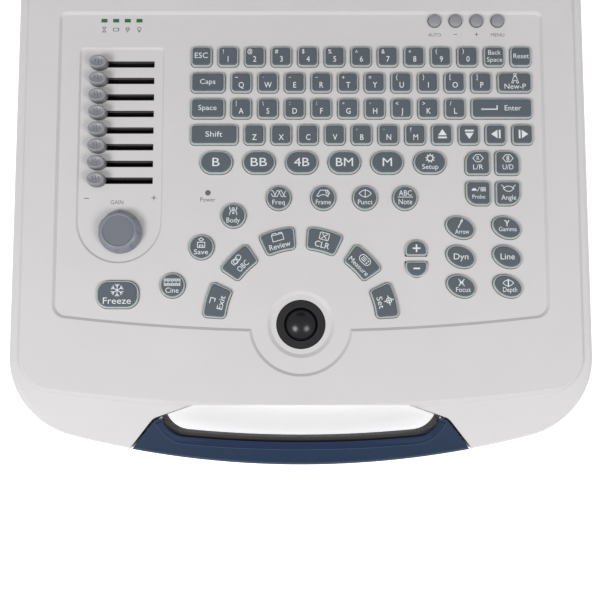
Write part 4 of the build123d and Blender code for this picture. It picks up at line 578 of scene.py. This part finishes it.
number_signs = [[(glyph("ESC", 3.5, 8.3), 0, 0.4)]]
number_signs += [character(*pair) for pair in zip("1234567890", "!@#$%^&*()")]
number_signs.append([(glyph("Back", 2.9, 8.0), 0, 2.3), (glyph("Space", 2.9, 9.8), 0, -2.4)])
number_signs.append([(glyph("Reset", 3.1, 9.8), 0, 0)])
legend("number_row_keys", NUMBER_ROW, number_signs)

left_side = [(-0.8, 1.5), (-2.2, -2.7), (-1.1, -2.7), (-0.7, -1.0), (0.7, -1.0), (1.1, -2.7)]
right_side = [(1.1, -2.7), (2.2, -2.7), (0.8, 1.5), (-0.8, 1.5)]
figure = drawn(0.4, ring(0.75, 0, 2.7), left_side, right_side)
upper_signs = [[(glyph("Caps", 3.2, 9.8), 0, 0.2)]]
upper_signs += [character(*pair) for pair in zip("QWERTYUIOP", "~`¯_+={}[]")]
upper_signs.append(signed(figure, "New-P", 13.6, 1.9, -2.9, 3.3))
legend("upper_letter_keys", UPPER_ROW, upper_signs)

return_arrow = drawn(0.7, [(-4.6, -0.9), (4.6, -0.9), (4.6, 1.3)])
arrow_head = slab([(-5.9, -0.9), (-4.3, -1.8), (-4.3, 0.0)])
home_signs = [[(glyph("Space", 3.2, 11.6), 0, 0.2)]]
home_signs += [character(*pair) for pair in zip("ASDFGHJKL", "|\\:;\"'<>/")]
home_signs.append([(return_arrow, -7.9, 0), (arrow_head, -7.9, 0), (glyph("Enter", 3.3, 10.4), 6.7, 0)])
legend("home_letter_keys", HOME_ROW, home_signs)

page = joined([slab([(-2.75, -0.8), (2.75, -0.8), (0, 3.2)]), bar(-2.2, -2.2, 2.2, -2.2, 1.1)])
lower_signs = [[(glyph("Shift", 3.4, 10.7), 0, 0)]] + [character(c) for c in "ZXCV"]
lower_signs += [character(*pair) for pair in (("B", ","), ("N", "."), ("M", "?"))]
for turn in (0, 180, 90, -90):
    lower_signs.append([((np.column_stack([turned(page[0][:, :2], turn), page[0][:, 2]]), page[1]), 0, 0)])
legend("lower_letter_keys", LOWER_ROW, lower_signs)

teeth = [turned([(0, 1.9), (0, 2.6)], a) for a in range(0, 360, 40)]
gear = drawn(0.6, ring(1.75), *teeth)
MODE_WORDS = (("B", 4.6), ("BB", 10.2), ("4B", 9.6), ("BM", 10.8), ("M", 5.9))  # each with its width
mode_signs = [[(glyph(word, 5.3, width), 0, 0)] for word, width in MODE_WORDS]
mode_signs.append(signed(gear, "Setup", 10.2, 2.4, -3.0, 3.1))
legend("mode_keys", MODE_KEYS, mode_signs)

lens_frame = [(-3.3, 0), (-1.3, 2.3), (1.3, 2.3), (3.3, 0), (1.3, -2.3), (-1.3, -2.3), (-3.3, 0)]
left_right = joined([drawn(PEN, lens_frame), glyph("R", 2.5)])
up_down = joined([drawn(PEN, lens_frame, ring(0.65, 0, 0.75), ring(0.65, 0, -0.75))])
half_disc = np.concatenate([ring(1.6, -2.8, -0.9, 0, 180), [(-4.4, -0.9)]])
grid_lines = [[(1.4 + 0.95 * i, -1.1), (1.4 + 0.95 * i, 1.1)] for i in range(4)]
grid_lines += [[(1.4, 1.1 * i), (4.25, 1.1 * i)] for i in (-1, 0, 1)]
probe_kinds = joined([slab(half_disc[:-1]), drawn(0.35, [(-0.7, -1.2), (0.5, 1.3)], *grid_lines)])
wings = [(-4.3, 2.4), (-2.5, 0.5)]
sector = drawn(PEN, bow(6.6, 1.5, 0.2), bow(6.6, -1.9, 0.2), wings, mirrored(wings))
legend("flip_and_probe_keys", FLIP_KEYS, [
    signed(left_right, "L/R", 6.4, 2.7, -2.9, 3.1),
    signed(up_down, "U/D", 6.8, 2.7, -2.9, 3.1),
    signed(probe_kinds, "Probe", 8.0, 2.3, -2.4, 2.5),
    signed(sector, "Angle", 9.4, 2.6, -2.9, 3.1),
])

wave_x = np.linspace(-4.5, 4.5, 37)
waves = drawn(0.38, *[np.stack([wave_x, 2.0 * np.sin(wave_x * 1.15 + lag)], axis=1) for lag in (0, 2.1)])
stack_lines = [[(1.1, 2.1), (2.1, -0.4)], [(2.2, 2.1), (3.2, -0.4)], [(2.9, 1.9), (3.9, 0.2), (2.4, -2.0)]]
front_frame = [[(-4.1, -1.6), (-1.9, 2.1), (2.6, 2.1)], bow(6.2, 1.1, -1.9), [(-4.1, -1.6), (-3.0, -1.9)]]
frames = drawn(PEN, *front_frame, *stack_lines)
lens = [bow(7.6, 2.2), bow(7.6, -2.2)]
halved_lens = drawn(PEN, *lens, [(0, -2.5), (0, 2.5)])
rule = bar(-4.6, 0.3, 4.6, 0.3, 0.4)
legend("round_keys", ROUND_KEYS, [
    signed(waves, "Freq", 7.8, 2.5, -2.9, 3.0),
    signed(frames, "Frame", 9.5, 2.6, -2.8, 3.0),
    signed(halved_lens, "Punct", 9.2, 2.6, -2.8, 3.0),
    [(glyph("ABC", 3.4, 8.2), 0, 2.9), (rule, 0, 0), (glyph("Note", 3.3, 8.6), 0, -2.6)],
])

side = [(-2.2, -2.5), (-2.2, -1.2), (-1.4, 0), (-2.2, 1.2), (-2.2, 2.5)]
fold = [(-1.0, -0.1), (0, 0.4), (1.0, -0.1)]
body = drawn(PEN, side, mirrored(side), ring(0.7, 0, 1.3), ring(0.45, 0, -1.3), fold)
lozenge = [(0, 0.9), (-1.5, 2.0), (0, 3.2), (1.5, 2.0), (0, 0.9)]
store = drawn(PEN, box_line(4.6, 3.2, 0, -1.3), box_line(2.2, 1.3, 0, -2.1), lozenge)
holes = [[(-4.3 + 1.23 * i, y), (-3.9 + 1.23 * i, y)] for i in range(8) for y in (-1.45, 1.45)]
film_lines = [box_line(9.9, 4.2), [(-4.9, 0.8), (4.9, 0.8)], [(-4.9, -0.8), (4.9, -0.8)]]
film_lines += [[(across, -0.8), (across, 0.8)] for across in (-2.5, 0, 2.5)]
film = joined([drawn(0.55, *holes), drawn(0.28, *film_lines)])
legend("store_keys", STORE_KEYS, [
    signed(body, "Body", 8.4, 2.8, -3.0, 3.1),
    signed(store, "Save", 8.8, 2.6, -3.1, 3.1),
    signed(film, "Cine", 8.2, 1.9, -3.1, 3.2),
])

arm = ([(0, 0), (0, 3.7)], [(-1.15, 3.6), (0, 2.3), (1.15, 3.6)])
arms = [turned(line, a) for a in range(0, 360, 60) for line in arm]
legend("freeze_key", FREEZE_KEY, [signed(drawn(0.45, *arms), "Freeze", 17.4, 2.6, -3.9, 3.9)])

hook = drawn(0.5, [(-1.9, 1.5), (1.5, 1.5), (1.5, -1.3), (-0.2, -1.3)])
upper_line = [(-3.6, 0.9), (-2.4, 1.6), (-0.4, 1.2), (0.7, 1.4)]
lower_line = [(-3.6, -1.3), (-1.2, -1.8), (1.6, -1.3)]
end_line = [(-3.6, 0.9), (-3.6, -1.3)]
unborn = drawn(PEN, ring(1.5, 1.9, 0.3), ring(1.2, -1.3, -0.3), upper_line, lower_line, end_line)
folder_tab = [(-3.4, 1.4), (-2.8, 2.4), (-0.8, 2.4), (-0.2, 1.4)]
folder_leaf = [(0.6, 1.4), (1.0, 2.1), (3.0, 2.1), (3.4, 1.4)]
folder = drawn(PEN, box_line(7.0, 3.9, 0, -0.6), folder_tab, folder_leaf)
plate_side = [(2.4, -2.2), (2.9, -1.6), (2.9, 1.6), (2.4, 2.2)]
plate = [(-2.4, -2.2), *plate_side, *mirrored(plate_side)[::-1]]
crossed = drawn(PEN, plate, [(-1.6, -1.5), (1.6, 1.5)], [(-1.6, 1.5), (1.6, -1.5)])
card_edge = [ring(2.3, -1.6, 0, 90, 270), ring(2.3, 1.6, 0, -90, 90)]
card_edge += [[(-1.6, up), (1.6, up)] for up in (2.3, -2.3)]
card_rows = [[(-2.3, up), (0.6, up)] for up in (1.0, 0, -1.0)]
card = drawn(PEN, *card_edge, *card_rows, ring(0.25, 2.1, 0.8), ring(0.25, 2.1, -0.8))
target = drawn(0.5, ring(1.6), [(-2.9, 0), (2.9, 0)], [(0, -2.9), (0, 2.9)])
legend("arc_keys", ARC_KEYS, [
    signed(hook, "Exit", 8.6, 2.5, -2.9, 3.5),
    signed(unborn, "OBC", 8.0, 2.5, -3.0, 3.5),
    signed(folder, "Review", 13.4, 2.4, -3.4, 3.5),
    signed(crossed, "CLR", 9.3, 2.6, -2.9, 3.7),
    signed(card, "Measure", 15.4, 2.3, -3.2, 3.0),
    signed(target, "Set", 7.4, 2.4, -3.0, 3.5),
])
legend("plus_key", PLUS_KEY, [[(drawn(0.95, [(-1.9, 0), (1.9, 0)], [(0, -1.9), (0, 1.9)]), 0, -0.4)]])
legend("minus_key", MINUS_KEY, [[(drawn(0.95, [(-1.6, 0), (1.6, 0)]), 0, 0.4)]])

pointer = joined([bar(-1.4, -2.6, 0.4, 1.0, 0.6), slab([(1.4, 3.2), (-0.3, 1.4), (1.2, 0.7)])])
gamma = drawn(0.55, [(-1.3, 1.6), (-0.7, 1.5), (0, -0.3), (0, -1.7)], [(1.2, 1.7), (0, -0.3)])
waist = [(-1.7, 2.1), (-0.8, 0.8), (-0.8, -0.8), (-1.7, -2.1)]
focus = drawn(PEN, waist, mirrored(waist), ring(0.4), [(-0.9, 1.2), (0.9, -1.2)], [(-0.9, -1.2), (0.9, 1.2)])
depth = joined([drawn(PEN, bow(6.6, 1.9), bow(6.6, -1.9)), bar(0, -2.1, 0, 2.1, 0.75)])
legend("image_keys", IMAGE_KEYS, [
    signed(pointer, "Arrow", 8.8, 2.3, -2.8, 2.9, 1.0),
    [(glyph("Dyn", 3.7, 9.1), 0, 0)],
    signed(focus, "Focus", 9.0, 2.1, -2.3, 3.0, 1.0),
    signed(gamma, "Gamma", 11.2, 2.5, -1.2, 2.7, 0.4),
    [(glyph("Line", 3.7, 8.9), 0, 0)],
    signed(depth, "Depth", 8.8, 1.8, -2.3, 3.0, 1.0),
])

# ---------------------------------------------------------------- the printing on the panel
# Words and signs beside the controls, printed in dark grey on the panel itself.
grey_ink = moulded("grey_ink", (0.10, 0.10, 0.11), 0.5, grain=0.25, depth=0.003, mottle=0.03)
gain_low, gain_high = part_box("gain_knob")
KNOB_X, KNOB_Y = ((np.array(gain_low) + np.array(gain_high))[:2] / 2 - BALL[:2]) / MM
GAIN_DEPTH = 1.0 * MM  # how far the gain panel is sunk into the control panel
GAIN_TOP = PANEL_TOP - GAIN_DEPTH
minus = drawn(0.5, [(-1.3, 0), (1.3, 0)])
plus = drawn(0.5, [(-1.3, 0), (1.3, 0)], [(0, -1.3), (0, 1.3)])
gain_marks = [
    (glyph("GAIN", 2.6, 8.0), KNOB_X - 2.6, KNOB_Y + 19.3, 0),
    (minus, KNOB_X - 21.9, KNOB_Y + 21.8, 0),
    (plus, KNOB_X + 20.7, KNOB_Y + 22.1, 0),
]
printed("gain_panel.print", gain_marks, GAIN_TOP + TRACE, "base", "case_plastic", grey_ink)
MONITOR_Y = MONITOR_KEYS[0][3]
POWER_WORD = (-58.7, 78.8)
LIGHT_X, LIGHT_PITCH, LIGHT_SIGN_Y = -126.4, 7.5, 189.8  # the signs above the green lights
panel_marks = [
    (glyph("AUTO", 2.2, 8.2), MONITOR_KEYS[0][2], MONITOR_Y - 9.0, 0),
    (drawn(0.4, [(-0.9, 0), (0.9, 0)]), MONITOR_KEYS[1][2], MONITOR_Y - 8.7, 0),
    (drawn(0.4, [(-0.9, 0), (0.9, 0)], [(0, -0.9), (0, 0.9)]), MONITOR_KEYS[2][2], MONITOR_Y - 8.7, 0),
    (glyph("MENU", 2.2, 8.6), MONITOR_KEYS[3][2], MONITOR_Y - 9.0, 0),
    (glyph("Power", 2.7, 9.6), *POWER_WORD, 0),
]
hourglass = drawn(0.4, [(-1.1, 1.6), (1.1, 1.6), (-1.1, -1.6), (1.1, -1.6), (-1.1, 1.6)])
cell = drawn(0.4, box_line(3.2, 1.9), [(1.9, -0.4), (1.9, 0.4)])
pins = ([(-0.6, 1.6), (-0.6, 0.6)], [(0.6, 1.6), (0.6, 0.6)])
plug_body = [(-1.2, 0.6), (1.2, 0.6), (0.6, -0.7), (-0.6, -0.7), (-1.2, 0.6)]
plug = drawn(0.4, *pins, plug_body, [(0, -0.7), (0, -1.7)])
bulb = drawn(0.4, ring(1.05, 0, 0.5), [(-0.5, -1.1), (0.5, -1.1)], [(-0.4, -1.6), (0.4, -1.6)])
for i, sign in enumerate((hourglass, cell, plug, bulb)):
    panel_marks.append((sign, LIGHT_X + LIGHT_PITCH * i, LIGHT_SIGN_Y, 0))
printed("panel.print", panel_marks, PANEL_TOP + TRACE, "base", "case_plastic", grey_ink)

# ---------------------------------------------------------------- the band along the handle
# The blue cover's upper edge beside the finger gap is stepped: a band of the same ABS, painted a darker blue
# as painted shade on the step, bounded in front by a fine raised line painted a lighter blue as a painted
# highlight.
# Both follow the gap's outline and the top's curve towards the front.
GAP_BOW, GAP_BOW_Y = 765.0, 691.8  # the gap's long edge: radius, and how far behind the ball its centre is
GAP_REACH = 71.5  # half the long edge's width
GAP_END, GAP_END_X, GAP_END_Y = 18.0, 69.6, -52.05  # the rounded ends of the gap
GAP_END_START, GAP_END_STOP = -83.8, -24  # the part of that round which the band follows, in degrees
SLOPE_R, SLOPE_Y = 165.0, -25.0  # the top's curve, and where it starts
BORDER_DROP = 2.5  # how far the case's border lies below the deck
# Painted shade: the band is the cover's own ABS, given a darker blue for the shade that falls on the step.
band_painted_shade = moulded(
    "band_painted_shade", (0.006, 0.018, 0.055), 0.5, grain=0.6, depth=0.012, mottle=0.04, specular=0.2
)
# Painted highlight: the raised line is the cover's own ABS, given a lighter blue for the light along it.
edge_painted_highlight = moulded(
    "edge_painted_highlight", (0.035, 0.060, 0.110), 0.4, grain=0.6, depth=0.004, mottle=0.04, specular=0.3
)


def gap_line(away):
    """Plan points in mm of a line that runs beside the gap, away mm in front of its edge: a long shallow arc,
    and at each end a short arc that bends back."""
    radius = GAP_BOW + away
    reach = GAP_REACH * radius / GAP_BOW
    x = np.linspace(-reach, reach, 61)
    middle = np.stack([x, GAP_BOW_Y - np.sqrt(radius**2 - x**2)], axis=1)
    end = ring(GAP_END + away, GAP_END_X, GAP_END_Y, GAP_END_START, GAP_END_STOP, 16)[1:]
    return np.concatenate([(end * (-1, 1))[::-1], middle, end])


def on_slope(plan, lift):
    """Plan points set on the top's curve, lift mm above it: it falls as a circle does beyond its crown."""
    fall = SLOPE_R - np.sqrt(SLOPE_R**2 - (plan[:, 1] - SLOPE_Y) ** 2)
    return at_deck(plan, DECK_TOP - (BORDER_DROP + fall - lift) * MM)


band = [(0.2, -0.4), (0.2, 0.02), (0.5, 0.04), (4.3, 0.04), (4.5, 0.02), (4.5, -0.4)]  # across, and up
band = np.stack([on_slope(gap_line(away), lift) for away, lift in band], axis=1)
place_rings("handle_cover.band", band[None], False, "base", "handle_blue", band_painted_shade)
EDGE_AWAY, EDGE_R = 4.7, 0.22
bead = [
    (EDGE_AWAY - EDGE_R * cos(a), 0.02 + EDGE_R * sin(a)) for a in np.linspace(0, 2 * pi, 10, endpoint=False)
]
bead = np.stack([on_slope(gap_line(away), lift) for away, lift in bead], axis=1)
place_rings("handle_cover.edge", bead[None], False, "base", "handle_blue", edge_painted_highlight)

# ---------------------------------------------------------------- the gain sliders
# Eight grey ABS caps pressed on the stems of slide potentiometers. Each is an oval with soft shoulders and a
# hollow top, in which three low ribs catch the finger.
SLIDER_HALF, SHOULDER = (6.0, 4.5), 0.7
SLIDER_TALL, SLIDER_SINK = 6.5 * MM, 0.6 * MM  # the cap's foot and top below the top of its node
RIM_DROP = 0.25 * MM  # the hollow's rim and the ribs' tops lie this far below the cap's top
RIBS = ((-1.9, 1.7), (0, 2.2), (1.9, 1.7))  # where each rib stands, and half its length
slider_grey = moulded("slider_grey", (0.235, 0.24, 0.26), 0.42, grain=0.5, depth=0.012, mottle=0.03)


def slider_grid(x, y, foot, top):
    """An oval's rings up a side that leans in, over a round shoulder, across a narrow rim, and down into a
    hollow that is as round as a parabola."""
    profile = [(0.0, foot), (-0.5, top - SHOULDER * MM)]
    for lean in np.linspace(0, pi / 2, 5)[1:]:
        profile.append((-0.5 - SHOULDER * (1 - cos(lean)), top - SHOULDER * MM * (1 - sin(lean))))
    profile += [(-1.45, top - 0.03 * MM), (-1.7, top - RIM_DROP)]
    rings = [at_deck(oval_outline(*SLIDER_HALF, grow) + (x, y), height) for grow, height in profile]
    edge = rings[-1]
    middle = edge.mean(axis=0)
    for share in (0.85, 0.6, 0.3, 0.1):
        inner = middle + (edge - middle) * share
        inner[:, 2] = top - RIM_DROP - 0.85 * MM * (1 - share**2)
        rings.append(inner)
    return np.stack(rings)


def rib_grid(x, y, half_length, foot, top):
    """A rib across the hollow: an oval ring swept up and rounded over, so that it is a smooth low ridge."""
    lean = np.linspace(0, pi / 2, 5)[:-1]
    profile = [(1.0, foot)] + [(cos(a), foot + (top - foot) * (0.5 + 0.5 * sin(a))) for a in lean]
    outlines = [oval_outline(0.38 * wide, half_length * wide**0.3, 0) + (x, y) for wide, _ in profile]
    return np.stack([at_deck(outline, height) for outline, (_, height) in zip(outlines, profile)])


for number in range(1, 9):
    node = f"gain_slider_{number}"
    low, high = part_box(node)
    foot, top = high[2] - SLIDER_TALL, high[2] - SLIDER_SINK
    x, y = ((np.array(low) + np.array(high))[:2] / 2 - BALL[:2]) / MM
    cap = slider_grid(x, y, foot, top)
    place_rings(node + ".cap", cap[None], False, node, "knob_plastic", slider_grey, node)
    ribs = np.stack([rib_grid(x + dx, y, half, top - 1.3 * MM, top - RIM_DROP) for dx, half in RIBS])
    place_rings(node + ".ribs", ribs, False, node, "knob_plastic", slider_grey)
    stem_outline = rounded_outline(2, 1, (0.3,) * 4, 0) + (x, y)
    stem = np.stack([at_deck(stem_outline, height) for height in (low[2], foot + 1 * MM)])
    place_rings(node + ".stem", stem[None], False, node, "knob_plastic", slider_grey)

# ---------------------------------------------------------------- the gain knob
# A turned-looking moulding: a skirt with eight finger scallops, a raised rim, and a flat disc inside it.
knob_grey = moulded("knob_grey", (0.20, 0.212, 0.245), 0.4, grain=0.5, depth=0.012, mottle=0.03)
KNOB_TALL = 7 * MM
KNOB_FOOT = gain_high[2] - KNOB_TALL


def knob_grid():
    """Circles about the knob's axis: radius by height from a profile, less a scallop of depth by height that
    repeats eight times round. The scallop is a hollow where the cosine of eight turns is above 0.3."""
    angle = np.linspace(0, 2 * pi, 192, endpoint=False)
    profile = [
        (13.5, 0.0, 0.0), (13.72, 0.3, 0.0), (13.72, 1.0, 0.3), (13.6, 2.2, 1.0), (13.3, 3.4, 1.1),
        (12.9, 4.5, 1.0), (12.4, 5.4, 0.7), (11.8, 6.0, 0.3), (11.2, 6.4, 0.0), (10.8, 6.7, 0.0),
        (10.4, 6.95, 0.0), (10.15, 7.0, 0.0), (9.9, 6.9, 0.0), (9.75, 6.6, 0.0), (9.65, 6.4, 0.0),
        (6.0, 6.4, 0.0), (0.8, 6.4, 0.0),
    ]  # radius, height and scallop depth in mm
    hollow = np.clip((np.cos(8 * angle) - 0.3) / 0.7, 0, 1) ** 0.8
    rings = []
    for radius, height, depth in profile:
        reach = radius - depth * hollow
        circle = np.stack([reach * np.cos(angle), reach * np.sin(angle)], axis=1) + (KNOB_X, KNOB_Y)
        rings.append(at_deck(circle, KNOB_FOOT + height * MM))
    return np.stack(rings)


place_rings("gain_knob.body", knob_grid()[None], False, "gain_knob", "knob_plastic", knob_grey, "gain_knob")
disc_grey = moulded("disc_grey", (0.155, 0.165, 0.19), 0.5, grain=0.5, depth=0.012, mottle=0.03, specular=0.3)
DISC_PROFILE = (
    (9.5, 6.3), (9.5, 6.45), (9.35, 6.52), (9.1, 6.53), (6.0, 6.53), (1.0, 6.53),
)  # radius and height in mm
disc = [at_deck(oval_outline(r, r, 0) + (KNOB_X, KNOB_Y), KNOB_FOOT + h * MM) for r, h in DISC_PROFILE]
disc = np.stack(disc)
place_rings("gain_knob.disc", disc[None], False, "gain_knob", "knob_plastic", disc_grey)
SHAFT_R = 3
shaft_angle = np.linspace(0, 2 * pi, 32, endpoint=False)
shaft_ring = np.stack([SHAFT_R * np.cos(shaft_angle), SHAFT_R * np.sin(shaft_angle)], axis=1)
shaft_ring = shaft_ring + (KNOB_X, KNOB_Y)
shaft = np.stack([at_deck(shaft_ring, height) for height in (gain_low[2], KNOB_FOOT + 1 * MM)])
steel = moulded("plated_steel", (0.45, 0.45, 0.47), 0.32, grain=0.8, depth=0.004)
steel.node_tree.nodes["Principled BSDF"].inputs["Metallic"].default_value = 1.0
place_rings("gain_knob.shaft", shaft[None], False, "gain_knob", "steel", steel)

# ---------------------------------------------------------------- the trackball
# A ball of polished black phenolic resin in a charcoal ring that twists off for cleaning.
ball_black = moulded("ball_black", (0.010, 0.010, 0.012), 0.27, grain=3.0, depth=0.0008, specular=0.4)
ring_charcoal = moulded("ring_charcoal", (0.018, 0.0175, 0.019), 0.5, grain=0.4, depth=0.01, specular=0.2)
BALL_R = (BALL_HIGH[2] - BALL_LOW[2]) / 2


def ball_grid():
    """Circles of latitude from pole to pole: radius is the cosine and height the sine of the latitude."""
    latitude = np.linspace(-pi / 2, pi / 2, 66)[1:-1, None]
    angle = np.linspace(0, 2 * pi, 128, endpoint=False)[None]
    x = np.cos(latitude) * np.cos(angle)
    y = np.cos(latitude) * np.sin(angle)
    z = np.sin(latitude) * np.ones_like(angle)
    return np.stack([x, y, z], axis=-1) * BALL_R + BALL


place_rings("trackball.ball", ball_grid()[None], False, "trackball", "ball_resin", ball_black, "trackball")
finish_node(ring_charcoal, "trackball_ring", "trackball_housing")
finish_node(steel, "trackball_bearings")

# ---------------------------------------------------------------- the lights
# Clear acrylic light pipes that end flush with the panel: four lit green, and the power light unlit beside
# the keys.
LIT_BEHIND = 140 * MM  # the pipes further than this behind the ball are the green ones
lights = moulded("light_pipes", (0.03, 0.55, 0.14), 0.25, grain=1.0, depth=0.005)
light_nodes, light_links = lights.node_tree.nodes, lights.node_tree.links
light_shader = light_nodes["Principled BSDF"]
light_place = light_nodes.new("ShaderNodeTexCoord")
light_split = light_nodes.new("ShaderNodeSeparateXYZ")
light_links.new(light_place.outputs["Object"], light_split.inputs["Vector"])
lit = light_nodes.new("ShaderNodeMath")
lit.operation = "GREATER_THAN"
lit.inputs[1].default_value = float(BALL[1] + LIT_BEHIND)
light_links.new(light_split.outputs["Y"], lit.inputs[0])
pipe_colour = light_nodes.new("ShaderNodeMix")
pipe_colour.data_type = "RGBA"
pipe_colour.inputs["A"].default_value = (0.13, 0.12, 0.11, 1)
pipe_colour.inputs["B"].default_value = (0.012, 0.14, 0.04, 1)
light_links.new(lit.outputs["Value"], pipe_colour.inputs["Factor"])
light_links.new(pipe_colour.outputs["Result"], light_shader.inputs["Base Color"])
finish_node(lights, "status_lights")

# ---------------------------------------------------------------- the screen
# A 15-inch panel in a two-part ABS lid on steel hinges, with small rubber bumpers on its front frame.
finish_node(case_plastic, "screen_back_cover", "screen_bezel")
display_black = moulded("display_black", (0.010, 0.011, 0.014), 0.22, grain=0.3, depth=0.002)
finish_node(display_black, "lcd_panel")
rubber = moulded("rubber", (0.028, 0.028, 0.028), 0.75, grain=0.6, depth=0.03)
finish_node(rubber, "lid_bumpers", "rubber_feet")
finish_node(steel, "lid_screws", "case_screws", "hinge_brackets", "hinge_leaves")

# ---------------------------------------------------------------- what lies inside and behind
# Felt under the slider slots, boards, supply, fan, battery and sockets, each in its bought part's finish,
# save the slider board, which is painted black as painted shade seen through the slots.
felt = moulded("black_felt", (0.008, 0.008, 0.009), 0.95, grain=0.35, depth=0.12, mottle=0.2)
felt.node_tree.nodes["Principled BSDF"].inputs["Sheen Weight"].default_value = 0.3
finish_node(felt, "slot_felts")
board_green = moulded("board_green", (0.015, 0.09, 0.045), 0.35, grain=1.5, depth=0.01)
finish_node(board_green, "main_board", "keyboard_board")
# Painted shade: the slider board is made black so that the slots above it read dark.
board_painted_shade = moulded("board_painted_shade", (0.008, 0.008, 0.009), 0.6, grain=1.5, depth=0.01, specular=0.2)
finish_node(board_painted_shade, "slider_board")
finish_node(moulded("mat_silicone", (0.42, 0.42, 0.43), 0.6, grain=0.5, depth=0.01), "key_mat")
finish_node(moulded("battery_sleeve", (0.02, 0.045, 0.16), 0.35, grain=2.0, depth=0.01), "battery_pack")
finish_node(case_plastic, "battery_door")
sheet_metal = moulded("sheet_metal", (0.55, 0.55, 0.56), 0.36, grain=1.2, depth=0.004)
sheet_metal.node_tree.nodes["Principled BSDF"].inputs["Metallic"].default_value = 1.0
finish_node(sheet_metal, "power_supply", "rear_ports", "gain_encoder")
socket_black = moulded("socket_black", (0.022, 0.022, 0.024), 0.45, grain=0.5, depth=0.015)
finish_node(socket_black, "probe_sockets", "power_inlet", "switch_housing", "power_switch")
finish_node(socket_black, "fan_frame", "fan_rotor")

# ---------------------------------------------------------------- floor, light and camera
# A pale light table, a broad light from the front left and a weaker one from the front right, as in a small
# studio.
floor_mesh = bpy.data.meshes.new("floor")
floor_mesh.from_pydata([(-4, -4, 0), (4, -4, 0), (4, 4, 0), (-4, 4, 0)], [], [(0, 1, 2, 3)])
floor = bpy.data.objects.new("floor", floor_mesh)
bpy.context.scene.collection.objects.link(floor)
pale_floor = moulded("pale_floor", (0.95, 0.95, 0.95), 0.7, grain=2.0, depth=0.005, mottle=0.005)
floor_mesh.materials.append(pale_floor)
glow = pale_floor.node_tree.nodes["Principled BSDF"]
glow.inputs["Emission Color"].default_value = (1, 1, 1, 1)
glow.inputs["Emission Strength"].default_value = 0.5

world = bpy.data.worlds.new("studio")
bpy.context.scene.world = world
world.use_nodes = True
bpy.context.scene.view_settings.view_transform = "Standard"
world.node_tree.nodes["Background"].inputs["Color"].default_value = (1.0, 1.0, 1.0, 1)
world.node_tree.nodes["Background"].inputs["Strength"].default_value = 0.47


def soft_light(name, where, towards, width, power):
    """A round lamp width metres across, turned towards a point."""
    lamp = bpy.data.lights.new(name, "AREA")
    lamp.shape = "DISK"
    lamp.size = width
    lamp.energy = power
    holder = bpy.data.objects.new(name, lamp)
    bpy.context.scene.collection.objects.link(holder)
    holder.location = where
    holder.rotation_euler = (Vector(towards) - Vector(where)).to_track_quat("-Z", "Y").to_euler()


MIDDLE = (0, float(BALL[1]) + 0.06, DECK_TOP)
soft_light("front_left", (-0.80, MIDDLE[1] - 0.6, 1.15), MIDDLE, 0.6, 12)
soft_light("front_right", (0.80, MIDDLE[1] - 0.6, 1.15), MIDDLE, 0.6, 9)

camera = bpy.data.cameras.new("camera")
camera.lens = 51.2
camera.sensor_width = 36
eye = bpy.data.objects.new("camera", camera)
bpy.context.scene.collection.objects.link(eye)
bpy.context.scene.camera = eye
AIM = Vector((-0.55 * MM, float(BALL[1]) + 15.1 * MM, DECK_TOP - 1.0 * MM))
eye.location = AIM + Vector((0, -50.0 * MM, 529.5 * MM))
eye.rotation_euler = (AIM - eye.location).to_track_quat("-Z", "Y").to_euler()
